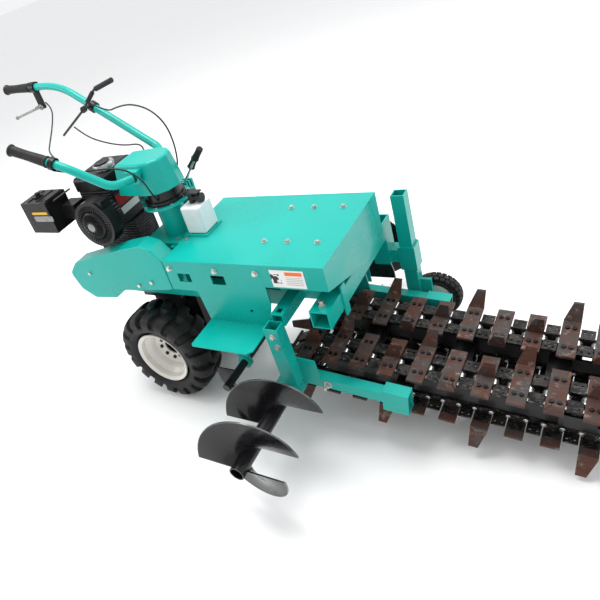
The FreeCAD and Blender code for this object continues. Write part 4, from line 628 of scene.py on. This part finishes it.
# -------------------------------------------------------------------- grips
def ribbed(length, radius, ribs, flare):
    """Distances and radii of a ribbed handle: radius + small rings of |sin|, with a knob at the far end."""
    along = np.linspace(0, 1, ribs * 8)
    rings = 0.0013 * np.abs(np.sin(np.pi * ribs * along)) ** 0.6
    body = radius * (0.93 + 0.05 * np.cos(2 * np.pi * (along - 0.1)))
    knob = flare * edge(along - 0.93, 0.03)
    start_lip = 0.002 * edge(0.05 - along, 0.03)
    profile = body + rings * (1 - edge(along - 0.9, 0.03)) + knob + start_lip
    close = np.sqrt(np.clip((1 - along) / 0.02, 0, 1))
    return along * length, profile * (0.72 + 0.28 * np.minimum(close, 1))


class TRENCHER_OT_grips(bpy.types.Operator):
    """Ribbed rubber grips on the handlebar and the gear levers."""

    bl_idname = "trencher.grips"
    bl_label = "Make Grips"

    def grip(self, node, points, body, ribs, outwards, flare=0.0, longer=0.0, wider=1.0, stands_for=()):
        """One grip over a round bar, longer and wider than it by so much, with its knob outwards."""
        start, direction, length, radius = long_axis(points)
        if np.dot(direction, outwards) < 0:
            start, direction = start + direction * length, -direction
        along, profile = ribbed(length + longer, radius * wider - flare, ribs, flare)
        name = "ribbed_" + node
        mesh = mesh_of(name, [turned(start, direction, along, profile)], crease=70)
        finished(name, mesh, body, FINISH["soft_rubber"], stands_for)

    def execute(self, context):
        ribs = context.scene.trencher_hold.ribs
        for side in ("near", "far"):
            node = "grip_" + side
            self.grip(node, corners_of(node), "handlebar", ribs, (-1, 0, 0), flare=0.0045, stands_for=[node])
        for node, body in (("long_gear_lever", "long_shift"), ("short_gear_lever", "short_shift")):
            points = corners_of(node)
            top = points[points[:, 2] > points[:, 2].max() - 0.0495]
            self.grip(node, top, body, 9, (0, 0, 1), longer=0.002, wider=1.3)
        return {"FINISHED"}


# ------------------------------------------------------------------- cables
class TRENCHER_OT_cables(bpy.types.Operator):
    """Four control cables, each a smooth spline from a lever to where it enters the housing."""

    bl_idname = "trencher.cables"
    bl_label = "Run Cables"

    ROUTES = {
        "cable_drive": (0.654, [
            (-0.6169, 0.1739, 1.1381), (-0.5369, 0.178, 1.078), (-0.4489, 0.158, 1.098),
            (-0.3609, 0.142, 1.104), (-0.2749, 0.13, 1.078), (-0.2189, 0.12, 1.022),
            (-0.2049, 0.112, 0.944), (-0.2149, 0.101, 0.862), (-0.2259, 0.0711, 0.818)
        ]),
        "cable_clutch": (0.493, [
            (-0.7509, 0.179, 1.04), (-0.6989, 0.173, 0.995), (-0.6089, 0.17, 0.96),
            (-0.4969, 0.158, 0.942), (-0.3969, 0.142, 0.95), (-0.3549, 0.112, 0.932),
            (-0.3429, 0.0722, 0.882)
        ]),
        "cable_squeeze": (0.683, [
            (-0.9431, 0.2508, 1.1428), (-0.8599, 0.205, 1.126), (-0.7669, 0.092, 1.09),
            (-0.6649, -0.036, 1.066), (-0.5669, -0.14, 1.062), (-0.4523, -0.2033, 1.0606)
        ]),
        "cable_throttle": (0.44, [
            (-0.4605, -0.2303, 1.0364), (-0.4169, -0.196, 1.004), (-0.3329, -0.166, 0.996),
            (-0.2669, -0.146, 0.988), (-0.2209, -0.128, 0.962), (-0.1969, -0.11, 0.912),
            (-0.1949, -0.098, 0.854), (-0.2089, -0.0674, 0.816)
        ]),
    }

    def execute(self, context):
        radius = context.scene.trencher_hold.cable
        for name, (length, route) in self.ROUTES.items():
            curve = bpy.data.curves.new(name, "CURVE")
            curve.dimensions = "3D"
            curve.bevel_depth = radius
            curve.bevel_resolution = 4
            curve.use_fill_caps = True
            spline = curve.splines.new("NURBS")
            spline.points.add(len(route) - 1)
            spline.points.foreach_set("co", np.c_[np.array(route), np.ones(len(route))].ravel())
            spline.order_u = 3
            spline.use_endpoint_u = True
            spline.resolution_u = 12
            piece = bpy.data.objects.new("run_" + name, curve)
            context.collection.objects.link(piece)
            curve.materials.append(FINISH["cable"])
            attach(piece, "handlebar")
            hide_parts("cables")
        return {"FINISHED"}


# ------------------------------------------------------------------- engine
class TRENCHER_OT_starter(bpy.types.Operator):
    """Recoil starter cover: a dome with radial louvres round a bright centre disc."""

    bl_idname = "trencher.starter"
    bl_label = "Make Starter Cover"

    def execute(self, context):
        cover = context.scene.trencher_cover
        low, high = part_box("recoil_starter")
        middle = (low + high) / 2
        outer = (high.z - low.z) / 2 - 0.0005
        radius = np.linspace(1.0, 0.02, 56)[:, None]
        angle = np.linspace(0, 2 * np.pi, 288, endpoint=False)[None, :]
        dome = 0.016 * (1 - radius ** 4)
        band = edge(radius - 0.42, 0.06) * edge(0.86 - radius, 0.06)
        louvre = edge(np.sin(cover.slots * angle), 0.5) * band * cover.relief
        rim = 0.0022 * edge(0.12 - np.abs(radius - 0.95), 0.1)
        level = dome - louvre + rim
        x = middle.x + outer * radius * np.sin(angle)
        y = low.y + 0.0182 - level
        z = middle.z + outer * radius * np.cos(angle)
        face = np.stack([x, y, z], -1)
        skirt = face[:1].copy()
        skirt[..., 1] = high.y
        points = np.concatenate([skirt, face])
        mesh = mesh_of("starter_cover", [shell(points)], crease=55)
        finished("starter_cover", mesh, "chassis", FINISH["black_gloss"],
                 ["recoil_starter"])
        disc = turned((middle.x, low.y + 0.0035, middle.z), (0, -1, 0), [0, 0.002, 0.0028, 0.0031],
                      [0.0165, 0.0165, 0.014, 0.004])
        mesh = mesh_of("starter_disc", [disc])
        finished("starter_disc", mesh, "chassis", FINISH["bright_alloy"])
        return {"FINISHED"}


class TRENCHER_OT_engine_dress(bpy.types.Operator):
    """Blank plates and ribs on the air box, the tank cap and a ring of ribs on the shroud."""

    bl_idname = "trencher.engine_dress"
    bl_label = "Dress Engine"

    def execute(self, context):
        tank_low, tank_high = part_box("tank")
        air_low, air_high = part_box("air_box")
        air_middle = (air_low + air_high) / 2
        face_y = air_low.y + 0.0002
        shells = [pillow((air_middle.x - 0.02, face_y, air_middle.z + 0.012), (1, 0, 0), (0, 0, 1),
                         0.045, 0.0055, 0.0008, 8)]
        finished("air_box_plate", mesh_of("air_box_plate", shells), "chassis",
                 FINISH["yellow"])
        shells = [pillow((air_middle.x - 0.01, face_y, air_middle.z - 0.012), (1, 0, 0), (0, 0, 1),
                         0.055, 0.012, 0.0006, 8)]
        finished("air_box_label", mesh_of("air_box_label", shells), "chassis",
                 FINISH["bright_alloy"])
        ribs = []
        for spot in np.linspace(-0.35, 0.35, 4):
            centre = air_middle.x + spot * (air_high.x - air_low.x)
            ribs.append(pillow((centre, air_middle.y, air_high.z - 0.0205), (1, 0, 0), (0, 1, 0),
                               0.006, (air_high.y - air_low.y) * 0.38, 0.004, 5, 0.4))
        finished("air_box_ribs", mesh_of("air_box_ribs", ribs), "chassis",
                 FINISH["shroud_plastic"])
        cap_at = (tank_low.x + 0.12, (tank_low.y + tank_high.y) / 2 - 0.02, tank_high.z - 0.0298)
        cap = turned(cap_at, (0, 0, 1), [0, 0.004, 0.006, 0.020, 0.024, 0.0265, 0.0275],
                     [0.039, 0.041, 0.0415, 0.0415, 0.039, 0.030, 0.004], 64)
        finished("tank_cap", mesh_of("tank_cap", [cap]), "chassis", FINISH["cap"])
        face = np.array([sum(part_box("recoil_starter"), Vector())[spot] / 2 for spot in range(3)])
        face[1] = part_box("engine_shroud")[0].y
        ribs = []
        for angle in np.linspace(0, 2 * np.pi, 44, endpoint=False):
            out = np.array([np.sin(angle), 0, np.cos(angle)])
            side = np.array([np.cos(angle), 0, -np.sin(angle)])
            ribs.append(pillow(face + out * 0.069, side, out, 0.0022, 0.0105, 0.0032, 4, 0.5, 16))
        finished("shroud_ribs", mesh_of("shroud_ribs", ribs), "chassis",
                 FINISH["black_gloss"])
        return {"FINISHED"}


class TRENCHER_OT_chain_pins(bpy.types.Operator):
    """Bright rollers and riveted pin ends on both chains, set out along the loop the links follow."""

    bl_idname = "trencher.chain_pins"
    bl_label = "Make Chain Pins"

    ROLLER = ([0, 0.0012, 0.0045, 0.0128, 0.0211, 0.0244, 0.0256],
              [0.0114, 0.0124, 0.0126, 0.0122, 0.0126, 0.0124, 0.0114])
    PIN_END = ([0, 0.0006, 0.0012, 0.0022, 0.0028], [0.0068, 0.0070, 0.0056, 0.0052, 0.0030])

    def loop(self, pitch, straight, teeth):
        """Pin centres: two straight runs, joined by half turns of radius pitch / 2 sin(pi / teeth)."""
        radius = pitch / 2 / math.sin(math.pi / teeth)
        run = np.arange(straight + 1) * pitch
        turn = np.pi / 2 - 2 * np.pi / teeth * np.arange(1, teeth // 2)
        x = np.concatenate([run, run[-1] + radius * np.cos(turn), run[::-1], -radius * np.cos(turn)])
        z = np.concatenate([0 * run + radius, radius * np.sin(turn),
                            0 * run - radius, -radius * np.sin(turn)])
        return x, z

    def execute(self, context):
        pivot = next(joint["pos_m"] for joint in frame["joints"] if joint["name"] == "boom_lift")
        x, z = self.loop(CHAIN_PITCH, STRAIGHT_LINKS, SPROCKET_TEETH)
        along = pivot[0] + x * math.cos(BOOM_DIP) + z * math.sin(BOOM_DIP)
        level = pivot[2] - x * math.sin(BOOM_DIP) + z * math.cos(BOOM_DIP)
        for side in ("near", "far"):
            low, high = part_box("chain_" + side)
            middle = (low.y + high.y) / 2
            rollers, ends = [], []
            for spot_x, spot_z in zip(along, level):
                rollers.append(turned((spot_x, middle - 0.0128, spot_z), (0, 1, 0), *self.ROLLER, 14))
                for way in (-1, 1):
                    end_at = (spot_x, middle + way * 0.0295, spot_z)
                    ends.append(turned(end_at, (0, way, 0), *self.PIN_END, 12))
            name = "chain_rollers_" + side
            finished(name, mesh_of(name, rollers), "boom", FINISH["bright_steel"])
            name = "chain_pin_ends_" + side
            finished(name, mesh_of(name, ends), "boom", FINISH["bright_steel"])
        return {"FINISHED"}


class TRENCHER_OT_stage(bpy.types.Operator):
    """Pale floor, soft lights and the camera."""

    bl_idname = "trencher.stage"
    bl_label = "Set Stage"

    def light(self, name, place, aim, size, power, colour=(1, 1, 1)):
        lamp = bpy.data.lights.new(name, "AREA")
        lamp.shape = "DISK"
        lamp.size = size
        lamp.energy = power
        lamp.color = colour
        thing = bpy.data.objects.new(name, lamp)
        bpy.context.scene.collection.objects.link(thing)
        heading = Vector(aim) - Vector(place)
        thing.matrix_world = Matrix.Translation(place) @ heading.to_track_quat("-Z", "Y").to_matrix().to_4x4()

    def execute(self, context):
        scene = context.scene
        scene.view_settings.view_transform = "Standard"
        world = bpy.data.worlds.new("Soft Room")
        world.use_nodes = True
        world.node_tree.nodes["Background"].inputs["Color"].default_value = (0.985, 0.99, 1.0, 1.0)
        world.node_tree.nodes["Background"].inputs["Strength"].default_value = 0.92
        scene.world = world
        span = np.linspace(-60, 60, 25)
        x, y = np.meshgrid(span, span, indexing="ij")
        points = np.stack([x, y, 0 * x - 0.0005], -1)
        corners, faces = shell(points, False, False, False)
        mesh = bpy.data.meshes.new("floor")
        mesh.from_pydata(corners.tolist(), [], faces)
        floor = bpy.data.objects.new("floor", mesh)
        scene.collection.objects.link(floor)
        paper = Finish("Pale Floor")
        paper.colour(paper.mix(paper.noise(0.8, 2), (0.90, 0.90, 0.90), (0.93, 0.93, 0.93)))
        paper.rough(0.9)
        mesh.materials.append(paper.material)
        self.light("overhead", (-0.6, 0.4, 4.4), (0.1, 0, 0.3), 2.6, 150)
        self.light("side", (-3.4, -1.8, 2.2), (0, 0, 0.4), 1.6, 26)
        self.light("back", (2.2, 3.4, 2.6), (0, 0, 0.4), 2.0, 50)
        azimuth, elevation, roll = map(math.radians, (45.91, 28.27, -22.48))
        back = Vector((math.sin(azimuth) * math.cos(elevation), -math.cos(azimuth) * math.cos(elevation),
                       math.sin(elevation)))
        right = Vector((math.cos(azimuth), math.sin(azimuth), 0))
        up = back.cross(right)
        tilted_right = math.cos(roll) * right + math.sin(roll) * up
        tilted_up = math.cos(roll) * up - math.sin(roll) * right
        lens = bpy.data.cameras.new("camera")
        lens.sensor_width = 36.0
        lens.lens = 35.93
        lens.shift_x = 0.2025
        lens.shift_y = -0.0477
        lens.clip_start, lens.clip_end = 0.05, 60.0
        camera = bpy.data.objects.new("camera", lens)
        scene.collection.objects.link(camera)
        turn = Matrix((tilted_right, tilted_up, back)).transposed()
        camera.matrix_world = Matrix.Translation((1.1828, -1.457, 1.583)) @ turn.to_4x4()
        scene.camera = camera
        return {"FINISHED"}


# -------------------------------------------------------------------- panel
class TRENCHER_PT_panel(bpy.types.Panel):
    """Lists the makers and their sizes."""

    bl_label = "Trencher Looks"
    bl_idname = "TRENCHER_PT_panel"
    bl_space_type = "VIEW_3D"
    bl_region_type = "UI"
    bl_category = "Trencher"

    def draw(self, context):
        for maker in MAKERS:
            self.layout.operator(maker.bl_idname)
        for group in GROUPS:
            settings = getattr(context.scene, group)
            for key in settings.__annotations__:
                self.layout.prop(settings, key)


GROUPS = {
    "trencher_paint": TrencherPaint,
    "trencher_tread": TrencherTread,
    "trencher_hold": TrencherHold,
    "trencher_cover": TrencherCover,
}
MAKERS = (
    TRENCHER_OT_stage,
    TRENCHER_OT_finish,
    TRENCHER_OT_tyres,
    TRENCHER_OT_grips,
    TRENCHER_OT_cables,
    TRENCHER_OT_starter,
    TRENCHER_OT_engine_dress,
    TRENCHER_OT_chain_pins,
)


def register():
    for kind in (*GROUPS.values(), *MAKERS, TRENCHER_PT_panel):
        bpy.utils.register_class(kind)
    for name, group in GROUPS.items():
        setattr(bpy.types.Scene, name, PointerProperty(type=group))


def unregister():
    for name in GROUPS:
        delattr(bpy.types.Scene, name)
    for kind in (TRENCHER_PT_panel, *reversed(MAKERS), *GROUPS.values()):
        bpy.utils.unregister_class(kind)


def main():
    register()
    for maker in MAKERS:
        group, action = maker.bl_idname.split(".")
        getattr(getattr(bpy.ops, group), action)()


if __name__ == "__main__":
    main()
